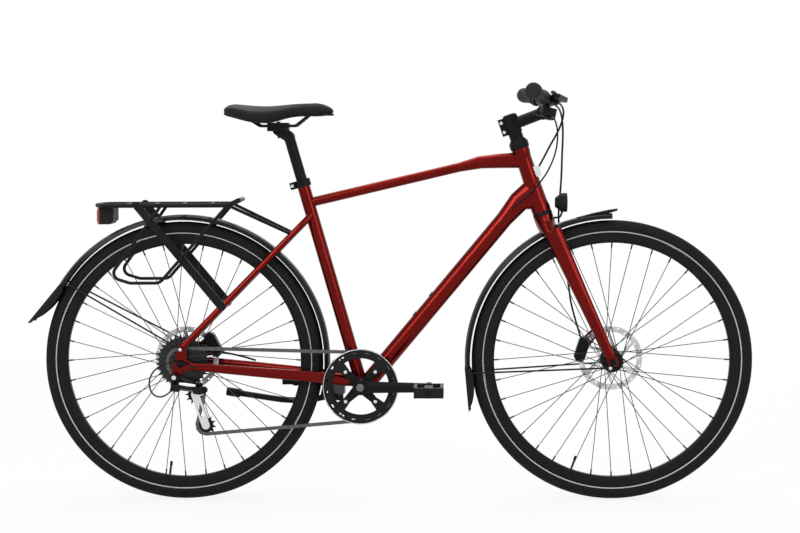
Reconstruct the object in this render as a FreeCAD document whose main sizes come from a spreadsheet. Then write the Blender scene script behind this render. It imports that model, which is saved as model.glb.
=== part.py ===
# Hybrid bicycle with rack, mudguards, lamps and kickstand, as separate pieces in millimetres.
# X points forward, Y to the rider's left and Z up, with the ground at zero.
import FreeCAD, Part
import math
import os
import re
import Sketcher

V = FreeCAD.Vector
X_AXIS = V(1, 0, 0)
Y_AXIS = V(0, 1, 0)
Z_AXIS = V(0, 0, 1)

# Driving dimensions: lengths in millimetres, angles in degrees, counts as they are
SIZES = {
    # layout
    "rear_axle_x": -511.0,
    "wheelbase": 1066.0,
    "chainstay": 447.0,
    "bb_drop": 60.0,
    "seat_angle": 74.1,
    "head_angle": 71.3,
    "fork_offset": 46.0,
    "fit_gap": 0.05,
    "running_gap": 0.05,
    "free_gap": 0.3,
    "overrun": 20.0,
    # wheels
    "tyre_radius": 348.0,
    "tyre_width": 37.0,
    "tyre_wall": 3.0,
    "rim_inner_radius": 292.0,
    "rim_edge_radius": 317.0,
    "rim_width": 24.0,
    "rim_spine_width": 13.0,
    "rim_wall": 2.0,
    "rim_well_radius": 305.0,
    "spoke_count": 36,
    "spoke_radius": 1.0,
    "spoke_rim_off": 2.5,
    "spoke_lift": 1.35,
    "nipple_radius": 2.0,
    "nipple_length": 12.0,
    "flange_radius": 27.0,
    "flange_hole_radius": 22.5,
    "flange_thickness": 3.0,
    "hub_waist_radius": 14.0,
    "front_left_flange": 21.0,
    "front_right_flange": 33.0,
    "rear_left_flange": 33.0,
    "rear_right_flange": 20.0,
    "front_hub_width": 100.0,
    "rear_hub_width": 135.0,
    "axle_radius": 4.9,
    "hub_end_gap": 0.3,
    "hub_end_radius": 9.0,
    "rotor_radius": 80.0,
    "rotor_track_radius": 66.0,
    "rotor_thickness": 1.8,
    "rotor_bolt_circle": 22.0,
    "rotor_centre_radius": 26.0,
    "rotor_bore": 17.4,
    "rotor_arm_width": 9.0,
    "rotor_arms": 6,
    "rotor_holes": 24,
    "rotor_hole_radius": 2.6,
    "rotor_bolt_radius": 2.5,
    "rotor_bolt_head": 1.8,
    "front_rotor_y": 39.5,
    "rear_rotor_y": 52.2,
    "axle_nut_radius": 9.5,
    "axle_nut_length": 9.0,
    "axle_end_length": 4.0,
    # frame
    "head_base": 406.0,
    "head_length": 164.0,
    "head_top_radius": 19.5,
    "head_low_radius": 22.0,
    "head_lip": 2.0,
    "head_lip_length": 12.0,
    "head_bore": 17.2,
    "cup_radius": 24.0,
    "lower_cup_height": 10.0,
    "upper_cup_height": 12.0,
    "cup_insert": 10.0,
    "steerer_radius": 14.3,
    "seat_tube_radius": 15.9,
    "seat_tube_length": 527.0,
    "seatpost_radius": 13.6,
    "shell_radius": 21.0,
    "shell_length": 73.0,
    "shell_bore": 17.0,
    "tube_wall": 2.2,
    "top_tube_joint": 471.0,
    "top_tube_head": 541.0,
    "top_tube_rise": 13.1,
    "top_tube_end_rise": 2.0,
    "top_tube_slim": 385.0,
    "top_tube_swell": 437.0,
    "top_tube_lead": 60.0,
    "top_tube_depth": 23.6,
    "top_tube_mid_depth": 32.0,
    "top_tube_lead_depth": 37.0,
    "top_tube_head_depth": 41.0,
    "top_tube_width": 23.0,
    "top_tube_head_width": 36.0,
    "down_tube_angle": 50.1,
    "down_tube_turn_angle": 44.0,
    "down_tube_end_angle": 25.0,
    "down_tube_drop": 10.0,
    "down_tube_straight": 545.0,
    "down_tube_flare": 600.0,
    "down_tube_head": 452.0,
    "down_tube_depth": 42.0,
    "down_tube_flare_depth": 53.0,
    "down_tube_head_depth": 84.0,
    "down_tube_width": 38.0,
    "down_tube_head_width": 40.0,
    "stay_start_back": 14.0,
    "stay_start_side": 26.0,
    "stay_start_rise": 11.0,
    "stay_waist_back": 112.0,
    "stay_waist_side": 33.5,
    "stay_waist_rise": 22.0,
    "stay_bow_back": 270.0,
    "stay_bow_side": 55.0,
    "stay_bow_rise": 38.0,
    "stay_end_ahead": 22.0,
    "stay_end_drop": 7.0,
    "chainstay_depth": 28.0,
    "chainstay_width": 16.0,
    "chainstay_end_width": 14.5,
    "chainstay_end_depth": 19.0,
    "seatstay_radius": 8.0,
    "seatstay_joint": 441.0,
    "seatstay_start_side": 12.0,
    "seatstay_neck_run": 34.0,
    "seatstay_neck_side": 27.0,
    "seatstay_end_rise": 42.0,
    "seatstay_end_ahead": 6.0,
    "seatstay_bend": 90.0,
    "dropout_boss": 16.0,
    "dropout_upper": 10.0,
    "dropout_front": 11.0,
    "hanger_back": 14.4,
    "hanger_drop": 32.4,
    "hanger_radius": 9.5,
    "seat_bridge_radius": 6.0,
    "seat_bridge_run": 112.0,
    "chain_bridge_back": 60.0,
    "boss_middle": 253.0,
    "boss_spacing": 64.0,
    "boss_flange_radius": 6.5,
    "boss_flange": 1.6,
    "boss_neck_radius": 4.2,
    "boss_bore": 2.5,
    "boss_length": 14.0,
    "clamp_height": 18.0,
    "clamp_wall": 4.0,
    "clamp_lug_reach": 12.0,
    "clamp_lug_width": 16.0,
    "clamp_slot": 3.0,
    "clamp_bolt_radius": 3.0,
    "clamp_bolt_head": 5.0,
    # bottom bracket
    "spindle_radius": 12.0,
    "bb_cup_radius": 20.0,
    "bb_cup_width": 6.0,
    "hanger_bolt_radius": 4.8,
    "fork_tip_thickness": 7.0,
    "dropout_thickness": 6.0,
    # fork and steering
    "steerer_wall": 2.4,
    "steerer_top": 653.0,
    "crown_top_radius": 24.5,
    "crown_shoulder": 381.0,
    "crown_shoulder_width": 78.0,
    "crown_low": 338.0,
    "crown_low_width": 106.0,
    "crown_depth": 46.0,
    "tunnel_top": 369.0,
    "tunnel_width": 56.0,
    "leg_top_along": 356.0,
    "leg_top_ahead": 9.0,
    "leg_top_side": 40.5,
    "leg_end_along": 18.0,
    "leg_top_depth": 45.0,
    "leg_end_depth": 25.0,
    "leg_top_width": 24.0,
    "leg_end_width": 13.0,
    "fork_tip_boss": 14.0,
    "fork_tip_upper": 11.0,
    "cover_height": 12.0,
    "spacer_radius": 17.0,
    "spacer_height": 17.0,
    "cap_height": 5.0,
    "stem_height": 43.4,
    "stem_wall": 4.7,
    "stem_length": 82.0,
    "stem_rise": 2.1,
    "stem_neck_radius": 14.5,
    "bar_clamp_radius": 12.7,
    "bar_clamp_wall": 5.0,
    "bar_clamp_width": 42.0,
    "faceplate_gap": 1.5,
    "stem_lug_reach": 12.0,
    "stem_lug_width": 18.0,
    "stem_slot": 2.5,
    "stem_bolt_radius": 2.6,
    "stem_bolt_spacing": 24.0,
    "bar_radius": 11.1,
    "bar_wall": 2.0,
    "bar_half_width": 301.0,
    "bar_bulge_width": 64.0,
    "bar_flat_side": 55.0,
    "bar_corner_side": 115.0,
    "bar_corner_ahead": 6.0,
    "bar_corner_rise": 28.6,
    "bar_end_back": 37.0,
    "bar_end_rise": 48.6,
    "bar_bend": 60.0,
    "grip_length": 126.0,
    "grip_cap": 4.0,
    "grip_end_radius": 19.0,
    "grip_waist_radius": 15.2,
    "grip_flange_radius": 17.4,
    "grip_flange_width": 5.0,
    # brake levers, shifter and bell
    "lever_tilt": 12.0,
    "lever_clamp_along": 136.0,
    "lever_clamp_width": 14.0,
    "clamp_ring_wall": 4.0,
    "master_radius": 9.0,
    "master_ahead": 27.0,
    "master_length": 52.0,
    "pivot_along": 122.0,
    "pivot_ahead": 34.0,
    "pivot_radius": 8.0,
    "pivot_pin_radius": 2.5,
    "blade_thickness": 11.0,
    "blade_knee_along": 92.0,
    "blade_knee_ahead": 60.0,
    "blade_tip_along": 28.0,
    "blade_tip_ahead": 52.0,
    "blade_root_radius": 7.0,
    "blade_radius": 6.0,
    "blade_tip_radius": 7.0,
    "shifter_along": 158.0,
    "shifter_ring_width": 12.0,
    "pod_ahead": 15.0,
    "pod_drop": 30.0,
    "pod_radius": 18.0,
    "pod_height": 20.0,
    "paddle_thickness": 4.0,
    "thumb_reach_out": 34.0,
    "thumb_reach_back": 20.0,
    "thumb_root_radius": 9.0,
    "thumb_tip_radius": 8.0,
    "trigger_reach_out": 26.0,
    "trigger_reach_ahead": 15.0,
    "trigger_tip_radius": 6.0,
    "bell_along": 184.0,
    "bell_ring_width": 8.0,
    "bell_radius": 12.5,
    "bell_height": 11.0,
    "bell_stalk": 8.0,
    # calipers
    "front_caliper_angle": 162.0,
    "rear_caliper_angle": 27.5,
    "caliper_radius": 77.0,
    "caliper_half_angle": 14.0,
    "caliper_end_radius": 14.0,
    "caliper_inner_depth": 13.0,
    "rotor_slot_gap": 0.9,
    "rotor_slot_rim": 2.5,
    "caliper_tab_radius": 9.0,
    # drive
    "chain_pitch": 12.7,
    "chain_line": 47.0,
    "ring_teeth": 42,
    "pulley_teeth": 11,
    "roller_radius": 3.87,
    "roller_seat_gap": 0.15,
    "tooth_height": 3.0,
    "tooth_tip": 1.8,
    "chain_inner_width": 2.4,
    "chain_plate": 1.0,
    "chain_plate_gap": 0.1,
    "chain_plate_radius": 4.2,
    "chain_pin_radius": 1.8,
    "chain_pin_gap": 0.15,
    "ring_thickness": 2.0,
    "ring_inner_radius": 70.0,
    "ring_tab_radius": 9.0,
    "spider_radius": 52.0,
    "spider_tab_radius": 8.0,
    "spider_thickness": 3.2,
    "spider_root_radius": 14.0,
    "spider_arms": 4,
    "guard_radius": 93.5,
    "guard_inner_radius": 74.0,
    "guard_thickness": 2.5,
    "guard_tab_radius": 10.0,
    "guard_slots": 16,
    "guard_slot_radius": 1.8,
    "guard_slot_angle": 7.0,
    "ring_bolt_radius": 4.9,
    "ring_bolt_head": 6.6,
    "ring_bolt_head_height": 1.6,
    "cog_spacing": 4.8,
    "cog_thickness": 1.8,
    "freehub_radius": 17.0,
    "cog_spacer_radius": 21.0,
    "lockring_width": 2.5,
    "crank_length": 170.0,
    "crank_boss_radius": 19.0,
    "right_crank_boss_inner": 43.0,
    "left_crank_boss_inner": 47.0,
    "crank_boss_outer": 70.0,
    "crank_root_depth": 30.0,
    "crank_tip_depth": 23.0,
    "crank_root_thickness": 15.0,
    "crank_tip_thickness": 13.0,
    "crank_root_side": 62.0,
    "crank_tip_side": 73.0,
    "crank_eye_radius": 13.5,
    "spindle_end": 66.0,
    "pedal_axle_radius": 6.0,
    "pedal_axle_length": 98.0,
    "pedal_gap": 5.0,
    "pedal_length": 72.0,
    "pedal_width": 90.0,
    "pedal_height": 25.0,
    "pedal_rail": 8.0,
    "pedal_barrel_radius": 10.0,
    # rear derailleur
    "guide_ahead": 33.0,
    "guide_drop": 80.0,
    "cage_pivot_ahead": 56.0,
    "cage_pivot_drop": 67.0,
    "cage_length": 81.0,
    "cage_angle": -70.0,
    "cage_half_gap": 4.6,
    "cage_plate": 1.6,
    "cage_end_radius": 10.0,
    "pulley_thickness": 2.0,
    "pulley_hub_radius": 6.0,
    "pulley_bolt_radius": 2.5,
    "cage_stub_radius": 4.0,
    "knuckle_radius": 8.5,
    "knuckle_length": 16.0,
    "link_ahead": 44.0,
    "link_inward": 8.0,
    "link_slant": 40.0,
    "link_radius": 5.5,
    "inner_link_radius": 4.0,
    "link_spacing": 13.0,
    "link_height": 10.0,
    "link_pin_radius": 2.2,
    "ear_radius": 6.0,
    "ear_thickness": 4.0,
    "ear_web": 11.0,
    "ear_web_radius": 3.6,
    "link_front_back": 19.0,
    "link_front_side": 74.0,
    "link_front_rise": 6.0,
    "bracket_radius": 10.0,
    "adjuster_radius": 3.5,
    "adjuster_length": 8.0,
    "bracket_length": 18.0,
    "bracket_arm_radius": 5.5,
    # seatpost and saddle
    "post_start": 390.0,
    "post_length": 252.0,
    "head_neck_radius": 14.0,
    "head_neck_width": 30.0,
    "head_setback": 26.0,
    "head_rise": 17.0,
    "cradle_length": 52.0,
    "cradle_width": 54.0,
    "cradle_height": 13.0,
    "rail_clamp_height": 8.0,
    "rail_bolt_radius": 3.0,
    "rail_bolt_head": 5.0,
    "rail_radius": 3.5,
    "rail_height": 932.0,
    "rail_half_gap": 22.0,
    "rail_rear_half_gap": 31.0,
    "rail_front_half_gap": 13.0,
    "rail_bend": 14.0,
    "rail_rear_x": -350.0,
    "rail_rear_bend_x": -314.0,
    "rail_front_bend_x": -226.0,
    "rail_front_x": -188.0,
    "rail_rear_z": 955.5,
    "rail_front_z": 962.0,
    "cushion_depth": 24.0,
    "base_thickness": 5.0,
    "saddle_x0": -402.0,
    "saddle_w0": 42.0,
    "saddle_s0": 966.0,
    "saddle_c0": 977.0,
    "saddle_x1": -382.0,
    "saddle_w1": 70.0,
    "saddle_s1": 958.0,
    "saddle_c1": 986.0,
    "saddle_x2": -347.0,
    "saddle_w2": 83.0,
    "saddle_s2": 945.0,
    "saddle_c2": 984.5,
    "saddle_x3": -300.0,
    "saddle_w3": 79.0,
    "saddle_s3": 939.0,
    "saddle_c3": 981.5,
    "saddle_x4": -250.0,
    "saddle_w4": 54.0,
    "saddle_s4": 954.0,
    "saddle_c4": 985.0,
    "saddle_x5": -205.0,
    "saddle_w5": 34.0,
    "saddle_s5": 959.0,
    "saddle_c5": 989.0,
    "saddle_x6": -165.0,
    "saddle_w6": 24.0,
    "saddle_s6": 960.0,
    "saddle_c6": 987.0,
    "saddle_x7": -133.0,
    "saddle_w7": 15.0,
    "saddle_s7": 962.0,
    "saddle_c7": 972.0,
    # rear rack
    "rack_height": 738.0,
    "rack_rear_x": -719.0,
    "rack_corner_x": -700.0,
    "rack_front_x": -392.0,
    "rack_lip_x": -366.0,
    "rack_lip_rise": 12.0,
    "rack_lip_side": 44.0,
    "rack_rear_side": 30.0,
    "rack_side": 60.0,
    "rack_tube_radius": 5.5,
    "rack_bend": 16.0,
    "rack_bar_radius": 4.0,
    "rack_bar_first_x": -440.0,
    "rack_bar_step": 70.0,
    "rack_bars": 4,
    "leg_width": 20.0,
    "leg_thickness": 4.5,
    "leg_inner_side": 62.0,
    "rack_leg_top_x": -615.0,
    "leg_low_height": 488.0,
    "rack_boss_radius": 7.0,
    "strut_rear_x": -392.0,
    "strut_rear_side": 44.0,
    "strut_low_height": 664.0,
    "pannier_radius": 4.0,
    "pannier_side": 76.0,
    "pannier_bend": 22.0,
    "pannier_front_x": -392.0,
    "pannier_low_front_x": -560.0,
    "pannier_low_x": -633.0,
    "pannier_rear_x": -683.0,
    "pannier_top_x": -556.0,
    "pannier_low_z": 548.0,
    "pannier_rear_z": 564.0,
    # lamps and reflector
    "tail_width": 76.0,
    "tail_front_x": -678.0,
    "tail_rear_x": -713.0,
    "tail_low": 691.0,
    "tail_chamfer": 9.0,
    "tail_lens": 6.0,
    "lamp_x": 434.0,
    "lamp_height": 740.0,
    "lamp_radius": 23.5,
    "lamp_back_radius": 11.0,
    "lamp_back": 20.0,
    "lamp_front": 10.0,
    "lamp_lens": 3.5,
    "lamp_wire_radius": 2.5,
    "lamp_wire_along": 385.0,
    "lamp_wire_knee_z": 703.0,
    "lamp_wire_knee_x": 427.0,
    "lamp_wire_bend": 8.0,
    "reflector_along": 505.0,
    "reflector_width": 28.0,
    "reflector_height": 26.0,
    "reflector_reach": 29.0,
    # mudguards
    "guard_outer_radius": 365.0,
    "guard_half_width": 22.5,
    "guard_crown_half": 11.0,
    "guard_knee_half": 19.5,
    "guard_knee_drop": 4.5,
    "guard_drop": 13.0,
    "guard_wall": 1.5,
    "rear_guard_start": -15.0,
    "rear_guard_end": 150.0,
    "front_guard_start": 90.0,
    "front_guard_end": 185.0,
    "rear_flap_length": 124.0,
    "rear_flap_kick": 10.0,
    "front_flap_length": 108.0,
    "front_flap_kick": 0.0,
    "flap_width": 52.0,
    "flap_thickness": 2.5,
    "guard_stay_radius": 2.2,
    "guard_eye_radius": 5.0,
    "guard_eye_width": 9.0,
    "rear_stay_angle": 146.0,
    "front_stay_angle": 185.0,
    "rear_eye_ahead": 1.0,
    "rear_eye_rise": 36.0,
    "front_eye_back": 8.0,
    "front_eye_drop": 13.0,
    "guard_tab_bar": 4.0,
    # kickstand
    "stand_plate_x": -127.0,
    "stand_plate_length": 38.0,
    "stand_plate_width": 58.0,
    "stand_plate_low": 268.0,
    "stand_plate_top": 291.0,
    "stand_lug_width": 26.0,
    "stand_lug_low": 246.0,
    "stand_pivot_side": 42.0,
    "stand_pivot_height": 262.0,
    "stand_eye_radius": 10.0,
    "stand_eye_length": 14.0,
    "stand_pin_radius": 5.0,
    "stand_pin_inner": 24.0,
    "stand_radius": 7.5,
    "stand_foot_radius": 11.0,
    "stand_foot_length": 26.0,
    "stand_knee_x": -180.0,
    "stand_knee_side": 44.0,
    "stand_knee_z": 244.0,
    "stand_mid_x": -255.0,
    "stand_mid_side": 50.0,
    "stand_mid_z": 239.0,
    "stand_end_x": -388.0,
    "stand_end_side": 73.0,
    "stand_end_z": 256.0,
    # hoses and cable
    "hose_radius": 2.5,
    "cable_radius": 2.0,
    "front_port_side": 42.0,
    "rear_port_side": 54.0,
}

doc = FreeCAD.newDocument("hybrid_bicycle")
sheet = doc.addObject("Spreadsheet::Sheet", "sizes")
for row, (name, number) in enumerate(SIZES.items(), start=1):
    sheet.set(f"A{row}", name)
    sheet.set(f"B{row}", str(number))
    sheet.setAlias(f"B{row}", name)
doc.recompute()

NODES = {}


def bound(text):
    # an expression in size names, as the sheet's own references
    return re.sub(r"\b([a-z]\w*)\b(?!\()", r"sizes.\1", text)


def value(text):
    return float(sheet.evalExpression(bound(text)))


def count(text):
    return int(round(value(text)))


def bind(item, **properties):
    for name, text in properties.items():
        item.setExpression(name, bound(text))
    return item


def node(label, *items):
    # one file for each node, which holds one piece or a group of separate ones
    if len(items) == 1:
        whole = items[0]
    else:
        whole = doc.addObject("Part::Compound", label)
        whole.Links = list(items)
    whole.Label = label
    NODES[label] = whole
    return whole


def place(item, base, rotation=FreeCAD.Rotation()):
    item.Placement = FreeCAD.Placement(base, rotation)
    return item


def facing(z_axis, x_hint):
    # a rotation that sends Z along an axis and X as near to the hint as it can
    z_axis = V(z_axis).normalize()
    x_axis = (x_hint - z_axis * x_hint.dot(z_axis)).normalize()
    return FreeCAD.Rotation(x_axis, z_axis.cross(x_axis), z_axis, "ZXY")


def along_axis(way):
    # a rotation that sends Z along an axis, for a round piece
    way = V(way).normalize()
    return facing(way, X_AXIS if abs(way.x) < abs(way.z) + abs(way.y) else Z_AXIS)


ACROSS = facing(Y_AXIS, X_AXIS)


def origin_plane(body, role):
    return [item for item in body.Origin.OriginFeatures if item.Role == role][0]


def outline(body, role, points, holes=()):
    # a closed sketch of straight sides, each corner and hole bound to the sheet
    sketch = body.newObject("Sketcher::SketchObject", "Outline")
    sketch.AttachmentSupport = (origin_plane(body, role), [""])
    sketch.MapMode = "FlatFace"
    corners = [V(value(across), value(along), 0) for across, along in points]
    for i, corner in enumerate(corners):
        sketch.addGeometry(Part.LineSegment(corner, corners[(i + 1) % len(corners)]), False)
    for i in range(len(corners)):
        sketch.addConstraint(Sketcher.Constraint("Coincident", i, 2, (i + 1) % len(corners), 1))
    for i, pair in enumerate(points):
        locate(sketch, i, 1, pair)
    for across, along, radius in holes:
        middle = V(value(across), value(along), 0)
        i = sketch.addGeometry(Part.Circle(middle, Z_AXIS, value(radius)), False)
        locate(sketch, i, 3, (across, along))
        last = sketch.addConstraint(Sketcher.Constraint("Radius", i, value(radius)))
        sketch.setExpression(f"Constraints[{last}]", bound(radius))
    return sketch


def locate(sketch, edge, end, pair):
    for kind, axis, text in (("DistanceX", -2, pair[0]), ("DistanceY", -1, pair[1])):
        if value(text) == 0:
            sketch.addConstraint(Sketcher.Constraint("PointOnObject", edge, end, axis))
        else:
            last = sketch.addConstraint(Sketcher.Constraint(kind, -1, 1, edge, end, value(text)))
            sketch.setExpression(f"Constraints[{last}]", bound(text))


def turned(name, points, base, axis, hint=X_AXIS):
    # a body of revolution: points are (radius, distance along the axis)
    body = doc.addObject("PartDesign::Body", name)
    sketch = outline(body, "XZ_Plane", points)
    turn = body.newObject("PartDesign::Revolution", "Turn")
    turn.Profile = sketch
    turn.ReferenceAxis = (sketch, ["V_Axis"])
    turn.Angle = 360
    return place(body, base, facing(axis, hint))


def plate(name, points, thickness, base, rotation, holes=()):
    # a flat plate, its thickness evenly to both sides of its outline
    body = doc.addObject("PartDesign::Body", name)
    sketch = outline(body, "XY_Plane", points, holes)
    pad = body.newObject("PartDesign::Pad", "Pad")
    pad.Profile = sketch
    pad.SideType = "Symmetric"
    bind(pad, Length=thickness)
    return place(body, base, rotation)


def rod(name, start, end, radius):
    item = bind(doc.addObject("Part::Cylinder", name), Radius=radius)
    item.Height = (end - start).Length
    return place(item, start, along_axis(end - start))


def block(name, base, rotation, length, width, height):
    # a box standing on the middle of its foot
    item = bind(doc.addObject("Part::Box", name), Length=length, Width=width, Height=height)
    corner = rotation.multVec(V(-value(length) / 2, -value(width) / 2, 0))
    return place(item, base + corner, rotation)


def feature(name, shape):
    item = doc.addObject("Part::Feature", name)
    item.Shape = shape
    return item


def cut(name, base, *tools):
    for tool in tools:
        item = doc.addObject("Part::Cut", name)
        item.Base = base
        item.Tool = tool
        base = item
    return base


def fuse(name, *items):
    item = doc.addObject("Part::MultiFuse", name)
    item.Shapes = list(items)
    return item


def loft(name, stations):
    # a loft through ellipses: (middle, direction, half width in Y, half depth)
    sections = []
    for middle, direction, half_width, half_depth in stations:
        wide = half_width >= half_depth
        section = doc.addObject("Part::Ellipse", name + "_section")
        section.MajorRadius = max(half_width, half_depth)
        section.MinorRadius = min(half_width, half_depth)
        hint = Y_AXIS if wide else direction.cross(Y_AXIS)
        sections.append(place(section, middle, facing(direction, hint)))
    item = doc.addObject("Part::Loft", name)
    item.Sections = sections
    item.Solid = True
    item.Ruled = True
    return item


def rounded_path(points, bend=None):
    # straight runs joined by tangent arcs; with no bend given, each arc is as large as its runs allow
    edges = []
    radii = []
    last = points[0]
    for i in range(1, len(points) - 1):
        back = points[i - 1] - points[i]
        ahead = points[i + 1] - points[i]
        half_turn = (math.pi - back.getAngle(ahead)) / 2
        reach = LONGEST_ARC_share * min(back.Length, ahead.Length)
        if bend is not None:
            reach = min(reach, bend * math.tan(half_turn))
        radii.append(reach / math.tan(half_turn))
        back.normalize()
        ahead.normalize()
        into = points[i] + back * reach
        out = points[i] + ahead * reach
        inward = (back + ahead).normalize()
        middle = points[i] + inward * (radii[-1] / math.cos(half_turn) - radii[-1])
        if (into - last).Length > TINY:
            edges.append(Part.LineSegment(last, into).toShape())
        edges.append(Part.Arc(into, middle, out).toShape())
        last = out
    edges.append(Part.LineSegment(last, points[-1]).toShape())
    return Part.Wire(edges), radii


LONGEST_ARC_share = 0.45
TINY = 1e-6


def bent_tube(name, points, radius, bend=None):
    # a round bar or hose swept along a bent path
    path, radii = rounded_path(points, bend)
    spine = feature(name + "_path", path)
    section = bind(doc.addObject("Part::Circle", name + "_section"), Radius=radius)
    start = points[1] - points[0]
    hint = Z_AXIS if abs(V(start).normalize().z) < 0.9 else X_AXIS
    place(section, points[0], facing(start, hint))
    item = doc.addObject("Part::Sweep", name)
    item.Sections = [section]
    item.Spine = (spine, [f"Edge{i + 1}" for i in range(len(path.Edges))])
    item.Solid = True
    return item


def link_face(start, end, start_radius, end_radius):
    # a flat link in the XY plane: two round ends joined by their outer tangents
    run = end - start
    along = V(run).normalize()
    side = Z_AXIS.cross(along)
    lean = (start_radius - end_radius) / run.Length
    rise = math.sqrt(1 - lean * lean)
    upper = along * lean + side * rise
    lower = along * lean - side * rise
    a = start + upper * start_radius
    b = end + upper * end_radius
    c = end + lower * end_radius
    d = start + lower * start_radius
    edges = [
        Part.LineSegment(a, b).toShape(),
        Part.Arc(b, end + along * end_radius, c).toShape(),
        Part.LineSegment(c, d).toShape(),
        Part.Arc(d, start - along * start_radius, a).toShape(),
    ]
    return Part.Face(Part.Wire(edges))


def side_plate(start, end, start_radius, end_radius, inner_y, thickness):
    # a link lying in the bicycle's side view, from one Y outwards by its thickness
    flat = link_face(V(start.x, start.z, 0), V(end.x, end.z, 0), start_radius, end_radius)
    flat.rotate(V(), X_AXIS, 90)
    flat.translate(V(0, inner_y, 0))
    return flat.extrude(V(0, thickness, 0))


def flat_cylinder(middle, radius, low_y, high_y):
    return Part.makeCylinder(radius, high_y - low_y, V(middle.x, low_y, middle.z), Y_AXIS)


# Points that the whole bicycle hangs on
rear_axle = V(value("rear_axle_x"), 0, value("tyre_radius"))
front_axle = rear_axle + X_AXIS * value("wheelbase")
bb = rear_axle + V(math.sqrt(value("chainstay") ** 2 - value("bb_drop") ** 2), 0, -value("bb_drop"))
head_lean = math.radians(value("head_angle"))
seat_lean = math.radians(value("seat_angle"))
steer_up = V(-math.cos(head_lean), 0, math.sin(head_lean))
steer_ahead = V(math.sin(head_lean), 0, math.cos(head_lean))
seat_up = V(-math.cos(seat_lean), 0, math.sin(seat_lean))
seat_back = V(-math.sin(seat_lean), 0, -math.cos(seat_lean))
steer_base = front_axle - steer_ahead * value("fork_offset")


def steer(along, ahead=0, side=0):
    return steer_base + steer_up * along + steer_ahead * ahead + Y_AXIS * side


def seat(along, back=0, side=0):
    return bb + seat_up * along + seat_back * back + Y_AXIS * side


# Wheels
def ring_of(name, middle, radius, tube_radius):
    ring = bind(doc.addObject("Part::Torus", name), Radius1=radius, Radius2=tube_radius)
    return place(ring, middle, ACROSS)


def disc(name, middle, radius, width):
    # a cylinder across the bicycle, evenly to both sides of its middle
    item = bind(doc.addObject("Part::Cylinder", name), Radius=radius, Height=width)
    return place(item, middle - Y_AXIS * (value(width) / 2), ACROSS)


def faceted(radius, length, base, along, sides):
    # a many-sided bar, for pieces that repeat too often to be round
    turn = along_axis(along)
    corners = []
    for i in range(sides):
        angle = 2 * math.pi * i / sides
        corners.append(base + turn.multVec(V(radius * math.cos(angle), radius * math.sin(angle), 0)))
    face = Part.Face(Part.makePolygon(corners + [corners[0]]))
    return face.extrude(V(along).normalize() * length)


WIRE_SIDES = 6


def tyre(label, axle):
    crown = "tyre_radius - tyre_width/2"
    hollow = "(tyre_width/2 - tyre_wall)"
    carcass = ring_of(label + "_carcass", axle, crown, "tyre_width/2")
    air = turned(label + "_air", [
        (f"{crown} - {hollow}", f"-{hollow}*2/3"),
        (crown, f"-{hollow}"),
        (f"{crown} + {hollow}*2/3", f"-{hollow}*2/3"),
        (f"{crown} + {hollow}*2/3", f"{hollow}*2/3"),
        (crown, hollow),
        (f"{crown} - {hollow}", f"{hollow}*2/3"),
    ], axle, Y_AXIS)
    seat_cut = disc(label + "_bead", axle, "rim_edge_radius + fit_gap", "tyre_width*2")
    node(label, cut(label, carcass, air, seat_cut))


def rim(label, axle):
    half = "rim_width/2"
    spine = "rim_spine_width/2"
    well = "rim_width/2 - rim_wall"
    knee = "(rim_inner_radius + rim_well_radius)/2"
    node(label, turned(label, [
        ("rim_inner_radius", f"-{spine}"),
        (knee, f"-{half}"),
        ("rim_edge_radius", f"-{half}"),
        ("rim_edge_radius", f"-({well})"),
        ("rim_well_radius", f"-({well})"),
        ("rim_well_radius", well),
        ("rim_edge_radius", well),
        ("rim_edge_radius", half),
        (knee, half),
        ("rim_inner_radius", spine),
    ], axle, Y_AXIS))


def spoke_places(left, right):
    # three-cross lacing: (hub angle, rim angle, flange Y, side of the flange that the spoke lies on)
    each = count("spoke_count") // 2
    for side, flange in ((0, left), (1, -right)):
        for i in range(each):
            rim_angle = 360 * (2 * i + side) / count("spoke_count")
            lean = 1 if i % 2 == 0 else -1
            hub_angle = rim_angle + lean * CROSSINGS * 360 / each
            yield math.radians(hub_angle), math.radians(rim_angle), flange, lean * math.copysign(1, flange)


CROSSINGS = 3


def around(axle, radius, angle, y):
    return axle + V(radius * math.cos(angle), y, radius * math.sin(angle))


def spokes(label, axle, left, right):
    wire = value("spoke_radius")
    off = value("flange_thickness/2 + spoke_radius + spoke_lift")
    end = value("rim_inner_radius - free_gap")
    solids = []
    for hub_angle, rim_angle, flange, side in spoke_places(left, right):
        start = around(axle, value("flange_hole_radius"), hub_angle, flange + side * off)
        rim_y = math.copysign(value("spoke_rim_off"), flange)
        tip = around(axle, end, rim_angle, rim_y)
        along = (tip - start).normalize()
        shoulder = tip - along * value("nipple_length")
        run = faceted(wire, (shoulder - start).Length + wire, start, along, WIRE_SIDES)
        nipple = faceted(value("nipple_radius"), value("nipple_length"), shoulder, along, WIRE_SIDES)
        inward = Y_AXIS * -side
        elbow = faceted(wire, off * 2, start, inward, WIRE_SIDES)
        head = faceted(wire * HEAD_share, wire, start + inward * (off * 2 - wire / 2), inward, WIRE_SIDES)
        solids.append(run.fuse([nipple, elbow, head]))
    node(label, feature(label, Part.makeCompound(solids)))


HEAD_share = 1.9


def spoke_holes(axle, left, right):
    holes = []
    for hub_angle, rim_angle, flange, side in spoke_places(left, right):
        middle = around(axle, value("flange_hole_radius"), hub_angle, flange - value("flange_thickness"))
        hole = value("spoke_radius + fit_gap")
        holes.append(faceted(hole, value("flange_thickness*2"), middle, Y_AXIS, WIRE_SIDES))
    return feature("spoke_holes", Part.makeCompound(holes))


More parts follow.
